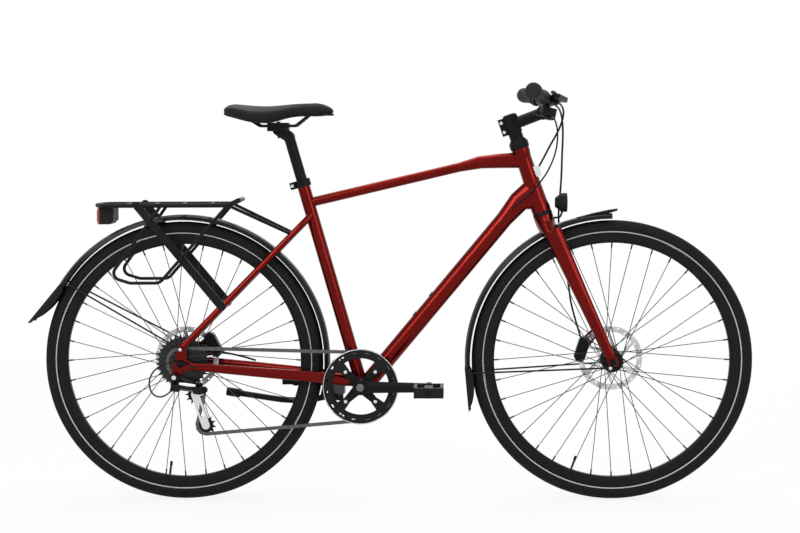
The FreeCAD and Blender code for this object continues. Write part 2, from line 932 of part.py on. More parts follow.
def hub(label, axle, left, right, width, right_end, rotor_y):
    # flanged shell on its bore, with the disc boss on the left
    bore = "axle_radius + running_gap"
    end = f"{width}/2 - hub_end_gap"
    half = "flange_thickness/2"
    boss = f"{rotor_y} - rotor_thickness/2 - fit_gap"
    neck = "flange_radius - hub_waist_radius"
    root = "flange_hole_radius - flange_thickness"
    shell = turned(label + "_shell", [
        (bore, f"-({right_end})"),
        ("hub_end_radius", f"-({right_end})"),
        ("hub_end_radius", f"-({right} + flange_thickness)"),
        (root, f"-({right} + {half})"),
        ("flange_radius", f"-({right} + {half})"),
        ("flange_radius", f"-({right} - {half})"),
        (root, f"-({right} - {half})"),
        ("hub_waist_radius", f"-({right} - {half} - ({neck})/2)"),
        ("hub_waist_radius", f"{left} - {half} - ({neck})/2"),
        (root, f"{left} - {half}"),
        ("flange_radius", f"{left} - {half}"),
        ("flange_radius", f"{left} + {half}"),
        (root, f"{left} + {half}"),
        ("rotor_bore", f"{left} + flange_thickness*2"),
        ("rotor_centre_radius", f"{boss} - flange_thickness"),
        ("rotor_centre_radius", boss),
        ("rotor_bore - fit_gap", boss),
        ("rotor_bore - fit_gap", f"{rotor_y} + rotor_thickness"),
        ("hub_end_radius", f"{rotor_y} + rotor_thickness*2"),
        ("hub_end_radius", end),
        (bore, end),
    ], axle, Y_AXIS)
    node(label, cut(label, shell, spoke_holes(axle, value(left), value(right))))


def rotor(label, axle, y_text):
    # braking track on slanted arms, and the bolts that hold it to the hub
    y = value(y_text)
    thick = value("rotor_thickness")
    low = y - thick / 2
    track = flat_cylinder(axle, value("rotor_radius"), low, low + thick)
    track = track.cut(flat_cylinder(axle, value("rotor_track_radius"), low, low + thick))
    middle = flat_cylinder(axle, value("rotor_centre_radius"), low, low + thick)
    arms = []
    bolts = []
    for i in range(count("rotor_arms")):
        angle = 2 * math.pi * i / count("rotor_arms")
        root = around(axle, value("rotor_bolt_circle"), angle, 0)
        tip = around(axle, value("rotor_track_radius"), angle + math.radians(ROTOR_SLANT), 0)
        half = value("rotor_arm_width/2")
        arms.append(side_plate(root, tip, half, half * ARM_TIP_share, low, thick))
        head = value("rotor_bolt_radius") * HEAD_share
        bolts.append(flat_cylinder(root, head, low + thick, low + thick + value("rotor_bolt_head")))
    body = track.fuse([middle] + arms)
    tools = [flat_cylinder(axle, value("rotor_bore"), low, low + thick)]
    radius = value("(rotor_radius + rotor_track_radius)/2")
    for i in range(count("rotor_holes")):
        step = value("rotor_hole_radius") * (1 if i % 2 else -1)
        hole = around(axle, radius + step, 2 * math.pi * i / count("rotor_holes"), 0)
        tools.append(faceted(value("rotor_hole_radius"), thick, hole + Y_AXIS * low, Y_AXIS, WIRE_SIDES))
    node(label, feature(label, Part.makeCompound([body.cut(tools)] + bolts)))


ROTOR_SLANT = 34
ARM_TIP_share = 0.7


def axle_set(label, axle, width, clamp):
    # the fixed spindle, and the nut on each end that clamps the dropouts
    reach = f"{width}/2 + {clamp} + axle_nut_length + axle_end_length"
    spindle = turned(label + "_spindle", [
        ("0", f"-({reach})"),
        ("axle_radius", f"-({reach})"),
        ("axle_radius", reach),
        ("0", reach),
    ], axle, Y_AXIS)
    pieces = [spindle]
    for side in (1, -1):
        inner = f"{width}/2 + {clamp} + fit_gap"
        nut = turned(label + "_nut", [
            ("axle_radius + fit_gap", inner),
            ("axle_nut_radius", inner),
            ("axle_nut_radius", f"{inner} + axle_nut_length/2"),
            ("axle_nut_radius*3/4", f"{inner} + axle_nut_length"),
            ("axle_radius + fit_gap", f"{inner} + axle_nut_length"),
        ], axle, Y_AXIS * side)
        pieces.append(nut)
    node(label, *pieces)


for end, axle in (("front", front_axle), ("rear", rear_axle)):
    left = value(f"{end}_left_flange")
    right = value(f"{end}_right_flange")
    tyre(end + "_tyre", axle)
    rim(end + "_rim", axle)
    spokes(end + "_spokes", axle, left, right)
    rotor(end + "_rotor", axle, f"{end}_rotor_y")
front_right_end = "front_hub_width/2 - hub_end_gap"
rear_right_end = "rear_right_flange + flange_thickness*3/2"
for end, axle, right_end in (("front", front_axle, front_right_end), ("rear", rear_axle, rear_right_end)):
    hub(end + "_hub", axle, f"{end}_left_flange", f"{end}_right_flange", f"{end}_hub_width", right_end,
        f"{end}_rotor_y")
axle_set("front_axle", front_axle, "front_hub_width", "fork_tip_thickness")
axle_set("rear_axle", rear_axle, "rear_hub_width", "dropout_thickness")

# Frame
def level(angle):
    # a direction in the side view, rising forwards by an angle
    return V(math.cos(math.radians(angle)), 0, math.sin(math.radians(angle)))


def through(points, halves):
    # stations of a loft along points, each facing the way from its last neighbour to its next
    stations = []
    for i, (middle, (half_width, half_depth)) in enumerate(zip(points, halves)):
        before = points[max(i - 1, 0)]
        after = points[min(i + 1, len(points) - 1)]
        stations.append((middle, (after - before).normalize(), half_width, half_depth))
    return stations


def mitred_tube(name, stations, *neighbours):
    # a hollow lofted tube, its ends cut to the tubes that it meets
    wall = value("tube_wall")
    inner = [(at, way, width - wall, depth - wall) for at, way, width, depth in stations]
    outside = loft(name + "_outside", stations)
    return cut(name, outside, *neighbours, loft(name + "_inside", inner)), outside


def straight_run(start, way, length, half_width, half_depth):
    # evenly spaced stations along a straight stretch of tube
    step = length / RUN_STEPS
    return [(start + way * (step * i), way, half_width, half_depth) for i in range(RUN_STEPS + 1)]


RUN_STEPS = 1


def head_profile(name, bore):
    lip = "head_lip_length"
    return turned(name, [
        (bore, "0"),
        ("head_low_radius + head_lip", "0"),
        ("head_low_radius + head_lip", lip),
        ("head_low_radius", f"{lip}*2"),
        ("head_top_radius", f"head_length - {lip}*2"),
        ("head_top_radius + head_lip", f"head_length - {lip}"),
        ("head_top_radius + head_lip", "head_length"),
        (bore, "head_length"),
    ], steer(value("head_base")), steer_up)


def head_cup(name, base, axis, height):
    # pressed into the head tube, and running on the steerer
    return turned(name, [
        ("steerer_radius + running_gap", "-cup_insert"),
        ("head_bore - fit_gap", "-cup_insert"),
        ("head_bore - fit_gap", "0"),
        ("cup_radius - head_lip", "0"),
        ("cup_radius", f"{height}/3"),
        ("cup_radius", f"{height} - free_gap"),
        ("steerer_radius + running_gap", f"{height} - free_gap"),
    ], base, axis)


head_tube = head_profile("head_tube", "head_bore")
head_core = head_profile("head_core", "0")
head_top = value("head_base + head_length")
cups = [
    head_cup("lower_cup", steer(value("head_base")), -steer_up, "lower_cup_height"),
    head_cup("upper_cup", steer(head_top), steer_up, "upper_cup_height"),
]

seat_top = seat(value("seat_tube_length"))
seat_core = rod("seat_core", seat(0), seat_top, "seat_tube_radius")
post_hole = rod("post_hole", seat(0), seat(value("seat_tube_length + overrun")),
                "seatpost_radius + fit_gap")
shell_core = disc("shell_core", bb, "shell_radius", "shell_length")
shell_hole = disc("shell_hole", bb, "shell_bore", "shell_length + overrun")
shell = cut("bottom_bracket_shell", shell_core, shell_hole)
seat_tube = cut("seat_tube", seat_core, post_hole, shell_core)

top_start = seat(value("top_tube_joint"))
top_way = level(value("top_tube_rise"))
top_end = steer(value("top_tube_head"))
top_end_way = level(value("top_tube_end_rise"))
top_half = value("top_tube_width/2")
top_head_half = value("top_tube_head_width/2")
slim_run = straight_run(top_start, top_way, value("top_tube_slim"), top_half, value("top_tube_depth/2"))
top_tube, top_outside = mitred_tube("top_tube", slim_run + [
    (top_start + top_way * value("top_tube_swell"), top_way, (top_half + top_head_half) / 2,
     value("top_tube_mid_depth/2")),
    (top_end - top_end_way * value("top_tube_lead"), top_end_way, top_head_half,
     value("top_tube_lead_depth/2")),
    (top_end, top_end_way, top_head_half, value("top_tube_head_depth/2")),
], head_core, seat_core)

down_way = level(value("down_tube_angle"))
down_up = V(-down_way.z, 0, down_way.x)
down_start = bb - down_up * value("down_tube_drop")
down_turn = level(value("down_tube_turn_angle"))
down_half = value("down_tube_width/2")
down_run = straight_run(down_start, down_way, value("down_tube_straight"), down_half,
                        value("down_tube_depth/2"))
down_tube, down_outside = mitred_tube("down_tube", down_run + [
    (down_start + down_way * value("down_tube_flare"), down_turn, down_half,
     value("down_tube_flare_depth/2")),
    (steer(value("down_tube_head")), level(value("down_tube_end_angle")), value("down_tube_head_width/2"),
     value("down_tube_head_depth/2")),
], head_core, shell_core, seat_core)

# Threaded bosses for a bottle cage, set into the down tube's upper wall
boss_foot = value("down_tube_depth/2")
bosses = []
boss_holes = []
boss_places = []
for step in (-1, 1):
    along = value("boss_middle") + step * value("boss_spacing/2")
    crest = down_start + down_way * along + down_up * boss_foot
    boss_places.append(crest + down_up * value("boss_flange"))
    bosses.append(turned("bottle_boss", [
        ("boss_bore", "-boss_length"),
        ("boss_neck_radius", "-boss_length"),
        ("boss_neck_radius", "0"),
        ("boss_flange_radius", "0"),
        ("boss_flange_radius", "boss_flange"),
        ("boss_bore", "boss_flange"),
    ], crest, down_up))
    inner = crest - down_up * value("tube_wall + overrun/2")
    boss_holes.append(rod("boss_hole", inner, crest + down_up * value("overrun"),
                          "boss_neck_radius + fit_gap"))
node("bottle_bosses", *bosses)
down_tube = cut("bossed_down_tube", down_tube, *boss_holes)


def rear_end(side):
    # one dropout, and the two stays that meet it, on the left (1) or the right (-1)
    stay_end = rear_axle + V(value("stay_end_ahead"), 0, -value("stay_end_drop"))
    upper_end = rear_axle + V(value("seatstay_end_ahead"), 0, value("seatstay_end_rise"))
    inner = value("rear_hub_width/2") if side > 0 else -value("rear_hub_width/2 + dropout_thickness")
    thick = value("dropout_thickness")
    boss = value("dropout_boss")
    arms = [
        side_plate(rear_axle, upper_end, boss, value("dropout_upper"), inner, thick),
        side_plate(rear_axle, stay_end, boss, value("dropout_front"), inner, thick),
    ]
    if side < 0:
        arms.append(side_plate(rear_axle, hanger, boss, value("hanger_radius"), inner, thick))
    else:
        radius = value("caliper_tab_radius")
        for step in (-1, 1):
            angle = math.radians(value("rear_caliper_angle") + step * value("caliper_half_angle"))
            tab = around(rear_axle, value("caliper_radius"), angle, 0)
            root = around(rear_axle, boss, angle, 0)
            arms.append(side_plate(root, tab, radius, radius, inner, thick))
    hole = flat_cylinder(rear_axle, value("axle_radius + fit_gap"), inner, inner + thick)
    tools = [hole]
    if side < 0:
        tools.append(flat_cylinder(hanger, value("hanger_bolt_radius + fit_gap"), inner, inner + thick))
    dropout = feature("dropout", arms[0].fuse(arms[1:]).removeSplitter().cut(tools))
    middle = inner + thick / 2
    points = [
        bb + V(-value("stay_start_back"), side * value("stay_start_side"), value("stay_start_rise")),
        bb + V(-value("stay_waist_back"), side * value("stay_waist_side"), value("stay_waist_rise")),
        bb + V(-value("stay_bow_back"), side * value("stay_bow_side"), value("stay_bow_rise")),
        stay_end + Y_AXIS * middle,
    ]
    half = value("chainstay_width/2")
    deep = value("chainstay_depth/2")
    end_half = value("chainstay_end_width/2")
    end_deep = value("chainstay_end_depth/2")
    chainstay, stay_outside = mitred_tube("chainstay", through(points, [
        (half, deep), (half, deep), (half, (deep + end_deep) / 2), (end_half, end_deep)]),
        shell_core, seat_core, dropout)
    start = seat(value("seatstay_joint"), side=side * value("seatstay_start_side"))
    slope = (upper_end - seat(value("seatstay_joint"))).normalize()
    neck = seat(value("seatstay_joint")) + slope * value("seatstay_neck_run")
    neck = neck + Y_AXIS * (side * value("seatstay_neck_side"))
    path = [start, neck, upper_end + Y_AXIS * middle]
    solid = bent_tube("seatstay_outside", path, "seatstay_radius", value("seatstay_bend"))
    inside = bent_tube("seatstay_inside", path, "seatstay_radius - tube_wall", value("seatstay_bend"))
    seatstay = cut("seatstay", solid, inside, seat_core, dropout)
    return dropout, chainstay, stay_outside, seatstay, solid


hanger = rear_axle + V(-value("hanger_back"), 0, -value("hanger_drop"))
left_dropout, left_chainstay, left_stay_core, left_seatstay, left_core = rear_end(1)
right_dropout, right_chainstay, right_stay_core, right_seatstay, right_core = rear_end(-1)

seat_slope = (rear_axle + Z_AXIS * value("seatstay_end_rise") - seat(value("seatstay_joint"))).normalize()
bridge_at = seat(value("seatstay_joint")) + seat_slope * value("seat_bridge_run")
bridge_reach = Y_AXIS * value("seatstay_neck_side + seatstay_radius")
seat_bridge = cut("seat_bridge", rod("seat_bridge_bar", bridge_at - bridge_reach, bridge_at + bridge_reach,
                                     "seat_bridge_radius"), left_core, right_core)
chain_bridge_at = bb + V(-value("chain_bridge_back"), 0, value("stay_start_rise"))
bridge_reach = Y_AXIS * value("stay_start_side")
chain_bridge = cut("chain_bridge", rod("chain_bridge_bar", chain_bridge_at - bridge_reach,
                                       chain_bridge_at + bridge_reach, "seat_bridge_radius"),
                   left_stay_core, right_stay_core)
frame_pieces = [
    head_tube, top_tube, down_tube, seat_tube, shell, left_chainstay, right_chainstay,
    left_seatstay, right_seatstay, left_dropout, right_dropout, seat_bridge, chain_bridge,
]

# Seat clamp: a split collar with a lug, and the bolt that closes it
collar_low = seat(value("seat_tube_length - clamp_height + clamp_wall"))
collar_high = collar_low + seat_up * value("clamp_height")
collar_step = collar_high - seat_up * value("clamp_wall - fit_gap")
seat_turn = facing(seat_up, seat_back)
lug_at = collar_low + seat_back * value("seat_tube_radius + clamp_lug_reach/2 + clamp_wall/2")
collar = cut(
    "collar",
    fuse("collar_solid", rod("collar_out", collar_low, collar_high, "seat_tube_radius + clamp_wall"),
         block("clamp_lug", lug_at, seat_turn, "clamp_lug_reach + clamp_wall", "clamp_lug_width",
               "clamp_height")),
    rod("collar_in", collar_low, collar_step, "seat_tube_radius + fit_gap"),
    rod("collar_neck", collar_low, collar_high, "seatpost_radius + fit_gap"),
    block("collar_slot", lug_at, seat_turn, "clamp_lug_reach*2", "clamp_slot", "clamp_height"),
)
bolt_at = lug_at + seat_up * value("clamp_height/2") + seat_back * value("clamp_wall/2")
bolt_half = Y_AXIS * value("clamp_lug_width/2")
bolt_tip = Y_AXIS * value("clamp_bolt_head")
collar_hole = rod("collar_hole", bolt_at - bolt_half, bolt_at + bolt_half, "clamp_bolt_radius + fit_gap")
shank = rod("clamp_shank", bolt_at - bolt_half - bolt_tip, bolt_at + bolt_half, "clamp_bolt_radius")
head = rod("clamp_head", bolt_at - bolt_half - bolt_tip, bolt_at - bolt_half, "clamp_bolt_radius*3/2")
node("seat_clamp", cut("seat_collar", collar, collar_hole), fuse("clamp_bolt", shank, head))

# Bottom bracket cups, threaded into the shell, and the bearings' bore for the spindle
for side in (1, -1):
    cups.append(turned("bb_cup", [
        ("spindle_radius + running_gap", "shell_length/2 - cup_insert"),
        ("shell_bore - fit_gap", "shell_length/2 - cup_insert"),
        ("shell_bore - fit_gap", "shell_length/2"),
        ("bb_cup_radius", "shell_length/2"),
        ("bb_cup_radius", "shell_length/2 + bb_cup_width"),
        ("spindle_radius + running_gap", "shell_length/2 + bb_cup_width"),
    ], bb, Y_AXIS * side))
node("bearing_cups", *cups)

# Fork
crown_top = value("head_base - lower_cup_height")
steerer = cut("steerer", rod("steerer_out", steer(value("crown_low + overrun")), steer(value("steerer_top")),
                             "steerer_radius"),
              rod("steerer_in", steer(value("tunnel_top")), steer(value("steerer_top + overrun")),
                  "steerer_radius - steerer_wall"))
crown_half = value("crown_depth/2")
crown_radius = value("crown_top_radius")
crown = loft("crown", [
    (steer(crown_top), steer_up, crown_radius, crown_radius),
    (steer(value("crown_shoulder")), steer_up, value("crown_shoulder_width/2"), crown_radius),
    (steer(value("leg_top_along")), steer_up, value("crown_low_width/2"), crown_half),
    (steer(value("crown_low"), value("leg_top_ahead/2")), steer_up, value("crown_low_width/2"), crown_half),
])
ahead_turn = facing(steer_ahead, steer_up)
tunnel_half = value("tunnel_width/2")
tunnel_middle = value("tunnel_top") - tunnel_half
tunnel_back = steer_ahead * -value("crown_depth")
tunnel = fuse(
    "tunnel",
    rod("tunnel_arch", steer(tunnel_middle) + tunnel_back, steer(tunnel_middle) - tunnel_back,
        "tunnel_width/2"),
    block("tunnel_walls", steer(tunnel_middle - value("tunnel_width/2")) + tunnel_back, ahead_turn,
          "tunnel_width", "tunnel_width", "crown_depth*2"),
)


def fork_leg(side):
    # one tapering blade, and the tip that holds the axle
    top = V(value("leg_top_along"), value("leg_top_ahead"), value("leg_top_side"))
    low = V(value("leg_end_along"), value("fork_offset - leg_end_along/8"),
            value("front_hub_width/2 + fork_tip_thickness/2"))
    stations = []
    for share in LEG_shares:
        at = top + (low - top) * share
        fall = 1 - (1 - share) ** 2
        depth = value("leg_top_depth") * (1 - fall) + value("leg_end_depth") * fall
        depth = (depth + value("leg_top_depth") * (1 - share) + value("leg_end_depth") * share) / 2
        width = value("leg_top_width") * (1 - share) + value("leg_end_width") * share
        way = steer_up * (low.x - top.x) + steer_ahead * (low.y - top.y) + Y_AXIS * (side * (low.z - top.z))
        stations.append((steer(at.x, at.y, side * at.z), way.normalize(), width / 2, depth / 2))
    blade = loft("fork_blade", stations)
    inner = value("front_hub_width/2") if side > 0 else -value("front_hub_width/2 + fork_tip_thickness")
    thick = value("fork_tip_thickness")
    end = steer(low.x, low.y)
    tip = side_plate(front_axle, end, value("fork_tip_boss"), value("fork_tip_upper"), inner, thick)
    return blade, feature("fork_tip", tip)


LEG_shares = (0, 0.25, 0.5, 0.75, 1)


def caliper_point(end, axle, offset_angle):
    angle = math.radians(value(f"{end}_caliper_angle") + offset_angle)
    return around(axle, value("caliper_radius"), angle, 0)


def caliper(end, axle, outer_y):
    # a two-sided housing round the rotor's edge, with the slot that the rotor runs in
    y = value(f"{end}_rotor_y")
    low = y - value("caliper_inner_depth")
    half = value("caliper_half_angle")
    radius = value("caliper_end_radius")
    body = side_plate(caliper_point(end, axle, -half), caliper_point(end, axle, half), radius, radius,
                      low, outer_y - low)
    gap = value("rotor_thickness/2 + rotor_slot_gap")
    slot = flat_cylinder(axle, value("rotor_radius + rotor_slot_rim"), y - gap, y + gap)
    node(end + "_caliper", feature(end + "_caliper", body.cut(slot)))


def caliper_tab(end, axle, root, inner, thick):
    # the flat lug that a caliper bolts to
    radius = value("caliper_tab_radius")
    return [side_plate(root, caliper_point(end, axle, step * value("caliper_half_angle")), radius, radius,
                       inner, thick) for step in (-1, 1)]


left_blade, left_tip = fork_leg(1)
right_blade, right_tip = fork_leg(-1)
tab_root = steer(value("caliper_radius"), value("fork_offset - leg_end_along/2"))
front_tabs = caliper_tab("front", front_axle, tab_root, value("front_hub_width/2"),
                         value("fork_tip_thickness"))
tip_slot = block("tip_slot", front_axle - Z_AXIS * value("fork_tip_boss + overrun"), FreeCAD.Rotation(),
                 "axle_radius*2 + fit_gap*2", "front_hub_width*2", "fork_tip_boss + overrun")
tip_hole = disc("tip_hole", front_axle, "axle_radius + fit_gap", "front_hub_width*2")
node("fork", cut("fork", fuse("fork_whole", steerer, crown, left_blade, right_blade, left_tip, right_tip,
                              feature("front_tabs", front_tabs[0].fuse(front_tabs[1]))),
                 tunnel, tip_slot, tip_hole))
caliper("front", front_axle, value("front_hub_width/2 - fit_gap"))
caliper("rear", rear_axle, value("rear_hub_width/2 - fit_gap"))

# Headset cover, spacer and top cap on the steerer
cover_low = value("head_base + head_length + upper_cup_height")
spacer_low = cover_low + value("cover_height + fit_gap")
stem_low = spacer_low + value("spacer_height + fit_gap")
cap_low = stem_low + value("stem_height + fit_gap")
steerer_fit = "steerer_radius + fit_gap"
node("headset_spacers",
     turned("bearing_cover", [
         (steerer_fit, "0"),
         ("cup_radius", "0"),
         ("cup_radius", "cover_height/4"),
         ("spacer_radius + head_lip", "cover_height"),
         (steerer_fit, "cover_height"),
     ], steer(cover_low), steer_up),
     turned("spacer", [
         (steerer_fit, "0"),
         ("spacer_radius", "0"),
         ("spacer_radius", "spacer_height"),
         (steerer_fit, "spacer_height"),
     ], steer(spacer_low), steer_up),
     turned("top_cap", [
         ("0", "0"),
         ("spacer_radius", "0"),
         ("spacer_radius", "cap_height/2"),
         ("spacer_radius*3/4", "cap_height"),
         ("0", "cap_height"),
     ], steer(cap_low), steer_up))

# Stem
stem_high = stem_low + value("stem_height")
stem_middle = steer((stem_low + stem_high) / 2)
stem_way = level(90 - value("head_angle") + value("stem_rise"))
stem_up = V(-stem_way.z, 0, stem_way.x)
bar_middle = stem_middle + stem_way * value("stem_length")
stem_turn = facing(stem_way, stem_up)
steer_turn = facing(steer_up, steer_ahead)
lug_back = stem_middle - steer_ahead * value("steerer_radius + stem_wall/2 + stem_lug_reach/2")
lug_foot = lug_back - steer_up * value("stem_height/2")
bar_ring = disc("bar_ring", bar_middle, "bar_clamp_radius + bar_clamp_wall", "bar_clamp_width")
bar_hole = disc("bar_hole", bar_middle, "bar_clamp_radius + fit_gap", "bar_clamp_width + overrun")
face_half = "bar_clamp_radius + bar_clamp_wall"
front_half = block("front_half", bar_middle, stem_turn, f"({face_half})*3", "bar_clamp_width*2",
                   f"({face_half})*2")
front_trim = block("front_trim", bar_middle + stem_way * value("faceplate_gap"), stem_turn,
                   f"({face_half})*3", "bar_clamp_width*2", f"({face_half})*2")
pinch_bolts = []
pinch_holes = []
for step in (-1, 1):
    middle = (lug_back + steer_up * (step * value("stem_bolt_spacing/2"))
              - steer_ahead * value("stem_wall/2"))
    half = Y_AXIS * value("stem_lug_width/2")
    tip = Y_AXIS * value("stem_bolt_radius")
    pinch_holes.append(rod("pinch_hole", middle - half, middle + half, "stem_bolt_radius + fit_gap"))
    pinch_bolts.append(fuse(
        "pinch_bolt", rod("pinch_shank", middle - half - tip, middle + half, "stem_bolt_radius"),
        rod("pinch_head", middle - half - tip, middle - half, "stem_bolt_radius*7/4")))
stem_solid = fuse(
    "stem_solid",
    rod("stem_clamp", steer(stem_low), steer(stem_high), "steerer_radius + stem_wall"),
    rod("stem_neck", stem_middle, bar_middle, "stem_neck_radius"),
    block("stem_lug", lug_foot, steer_turn, "stem_lug_reach + stem_wall", "stem_lug_width", "stem_height"),
    bar_ring,
)
stem = cut("stem", stem_solid, rod("stem_bore", steer(stem_low), steer(stem_high), steerer_fit), bar_hole,
           front_half, block("stem_gap", lug_foot, steer_turn, "stem_lug_reach*2", "stem_slot",
                             "stem_height"), *pinch_holes)
faceplate = doc.addObject("Part::Common", "faceplate_half")
faceplate.Base = bar_ring
faceplate.Tool = front_trim
face_bolts = []
for side in (-1, 1):
    for step in (-1, 1):
        at = bar_middle + stem_up * (step * value("bar_clamp_radius + bar_clamp_wall/2"))
        at = at + Y_AXIS * (side * value("bar_clamp_width/3")) + stem_way * value("bar_clamp_wall*3/2")
        face_bolts.append(rod("face_bolt", at, at + stem_way * value("bar_clamp_wall"), "stem_bolt_radius"))
face = cut("stem_faceplate", fuse("faceplate_solid", faceplate, *face_bolts), bar_hole)
node("stem", stem, face, *pinch_bolts)

# Handlebar, grips, levers, shifter and bell
def bar_point(side, ahead, along_y, rise):
    return bar_middle + V(ahead, side * along_y, rise)


def bar_end(side):
    return bar_point(side, -value("bar_end_back"), value("bar_half_width"), value("bar_end_rise"))


def bar_corner(side):
    return bar_point(side, value("bar_corner_ahead"), value("bar_corner_side"), value("bar_corner_rise"))


bar_path = [
    bar_end(1), bar_corner(1), bar_point(1, 0, value("bar_flat_side"), 0),
    bar_point(-1, 0, value("bar_flat_side"), 0), bar_corner(-1), bar_end(-1),
]
bulge = turned("bar_bulge", [
    ("0", "-bar_bulge_width/2"),
    ("bar_radius", "-bar_bulge_width/2"),
    ("bar_clamp_radius", "-bar_clamp_width/2"),
    ("bar_clamp_radius", "bar_clamp_width/2"),
    ("bar_radius", "bar_bulge_width/2"),
    ("0", "bar_bulge_width/2"),
], bar_middle, Y_AXIS)
bar_bend = value("bar_bend")
bar_room = bent_tube("bar_room", bar_path, "bar_radius + fit_gap", bar_bend)
node("handlebar", cut("handlebar",
                      fuse("bar_solid", bent_tube("bar_outside", bar_path, "bar_radius", bar_bend), bulge),
                      bent_tube("bar_inside", bar_path, "bar_radius - bar_wall", bar_bend)))


class Side:
    # one end of the bar: distances run inwards from its tip, forwards from its axis, and up
    def __init__(self, side):
        self.side = side
        self.tip = bar_end(side)
        self.inward = (bar_corner(side) - bar_end(side)).normalize()
        tilt = level(-value("lever_tilt"))
        self.ahead = (tilt - self.inward * tilt.dot(self.inward)).normalize()
        self.up = self.inward.cross(self.ahead) * side

    def at(self, along, ahead=0, up=0):
        return self.tip + self.inward * along + self.ahead * ahead + self.up * up

    def ring(self, name, along, width):
        # a clamp that closes round the bar
        start = self.at(value(f"{along} - {width}/2"))
        end = self.at(value(f"{along} + {width}/2"))
        return rod(name, start, end, "bar_radius + clamp_ring_wall"), self.hole(along, width)

    def hole(self, along, width):
        start = self.at(value(f"{along} - {width}"))
        end = self.at(value(f"{along} + {width}"))
        return rod("bar_passage", start, end, "bar_radius + fit_gap")

    def flat(self, start, end, start_radius, end_radius, low, thickness):
        # a link lying in the lever's plane: places are (inwards, forwards)
        face = link_face(V(*start, 0), V(*end, 0), start_radius, end_radius)
        normal = self.inward.cross(self.ahead)
        foot = low if normal.dot(self.up) > 0 else -low - thickness
        solid = face.extrude(Z_AXIS * thickness)
        solid.translate(Z_AXIS * foot)
        solid.Placement = FreeCAD.Placement(
            self.tip, FreeCAD.Rotation(self.inward, self.ahead, normal, "XYZ")).multiply(solid.Placement)
        return solid


sides = {"left": Side(1), "right": Side(-1)}
grips = []
for side in sides.values():
    grips.append(turned("grip", [
        ("0", "-grip_cap"),
        ("grip_end_radius - grip_cap", "-grip_cap"),
        ("grip_end_radius", "0"),
        ("grip_end_radius", "grip_length/8"),
        ("grip_waist_radius", "grip_length/2"),
        ("grip_waist_radius", "grip_length*3/4"),
        ("grip_flange_radius - grip_cap/4", "grip_length - grip_flange_width*2"),
        ("grip_flange_radius", "grip_length - grip_flange_width"),
        ("grip_flange_radius", "grip_length"),
        ("bar_radius + fit_gap", "grip_length"),
        ("bar_radius + fit_gap", "0"),
        ("0", "0"),
    ], side.tip, side.inward))
node("grips", *grips)


def lever_bracket(side):
    # clamp ring, and the cylinder that carries the lever's pivot and the hose
    ring, hole = side.ring("lever_ring", "lever_clamp_along", "lever_clamp_width")
    start = side.at(value("pivot_along"), value("master_ahead"))
    end = side.at(value("pivot_along + master_length"), value("master_ahead - master_radius/6"))
    master = rod("master", start, end, "master_radius")
    web = feature("lever_web", side.flat(
        (value("lever_clamp_along"), value("bar_radius")),
        (value("lever_clamp_along"), value("master_ahead")),
        value("lever_clamp_width/2"), value("lever_clamp_width/2"), -value("blade_thickness/2"),
        value("blade_thickness")))
    pivot = (value("pivot_along"), value("pivot_ahead"))
    root = (value("pivot_along + pivot_radius"), value("master_ahead"))
    ear = value("pivot_radius/2")
    low = value("blade_thickness/2 + free_gap")
    eye = value("pivot_radius")
    ears = [feature("lever_ear", side.flat(root, pivot, eye, eye, at, ear)) for at in (low, -low - ear)]
    room = feature("lever_room", side.flat(
        root, (pivot[0] - value("overrun"), pivot[1]), value("pivot_radius + free_gap*2"),
        value("pivot_radius + free_gap*2"), -low, low * 2))
    pin_end = value("blade_thickness/2 + pivot_radius")
    pin = rod("lever_pin", side.at(*pivot, -pin_end), side.at(*pivot, pin_end), "pivot_pin_radius")
    bracket_solid = fuse("bracket_solid", ring, master, web, *ears)
    return fuse("lever_bracket", cut("bracket_body", bracket_solid, hole, room), pin)


def lever_blade(name, side):
    # the finger blade, bowed forwards from its pivot and turned in at its tip
    pivot = (value("pivot_along"), value("pivot_ahead"))
    knee = (value("blade_knee_along"), value("blade_knee_ahead"))
    tip = (value("blade_tip_along"), value("blade_tip_ahead"))
    low = -value("blade_thickness/2")
    thick = value("blade_thickness")
    root = side.flat(pivot, knee, value("blade_root_radius"), value("blade_radius"), low, thick)
    reach = side.flat(knee, tip, value("blade_radius"), value("blade_tip_radius"), low, thick)
    solid = feature(name + "_solid", root.fuse(reach))
    reach = value("blade_thickness")
    hole = rod(name + "_hole", side.at(*pivot, -reach), side.at(*pivot, reach),
               "pivot_pin_radius + running_gap")
    node(name, cut(name, solid, hole))


node("brake_lever_brackets", *[lever_bracket(side) for side in sides.values()])
for name, side in sides.items():
    lever_blade(name + "_brake_lever", side)

# Shifter under the right side of the bar: housing, thumb lever and release trigger
right = sides["right"]
pod_at = (value("shifter_along"), value("pod_ahead"))
pod_low = -value("pod_drop + pod_height/2")
ring, hole = right.ring("shifter_ring", "shifter_along", "shifter_ring_width")
pod = feature("pod", right.flat(pod_at, (pod_at[0] + value("pod_radius"), pod_at[1]), value("pod_radius"),
                                value("pod_radius*3/4"), pod_low, value("pod_height")))
stalk = rod("pod_stalk", right.at(pod_at[0], 0), right.at(*pod_at, -value("pod_drop")),
            "shifter_ring_width*2/5")
thumb_low = pod_low - value("paddle_thickness + free_gap")
trigger_low = thumb_low - value("paddle_thickness + free_gap")
pin = rod("shifter_pin", right.at(*pod_at, trigger_low), right.at(*pod_at, pod_low), "pivot_pin_radius")
shifter_solid = fuse("shifter_solid", ring, pod, stalk)
node("shifter_body", fuse("shifter_body", cut("shifter_shell", shifter_solid, hole), pin))


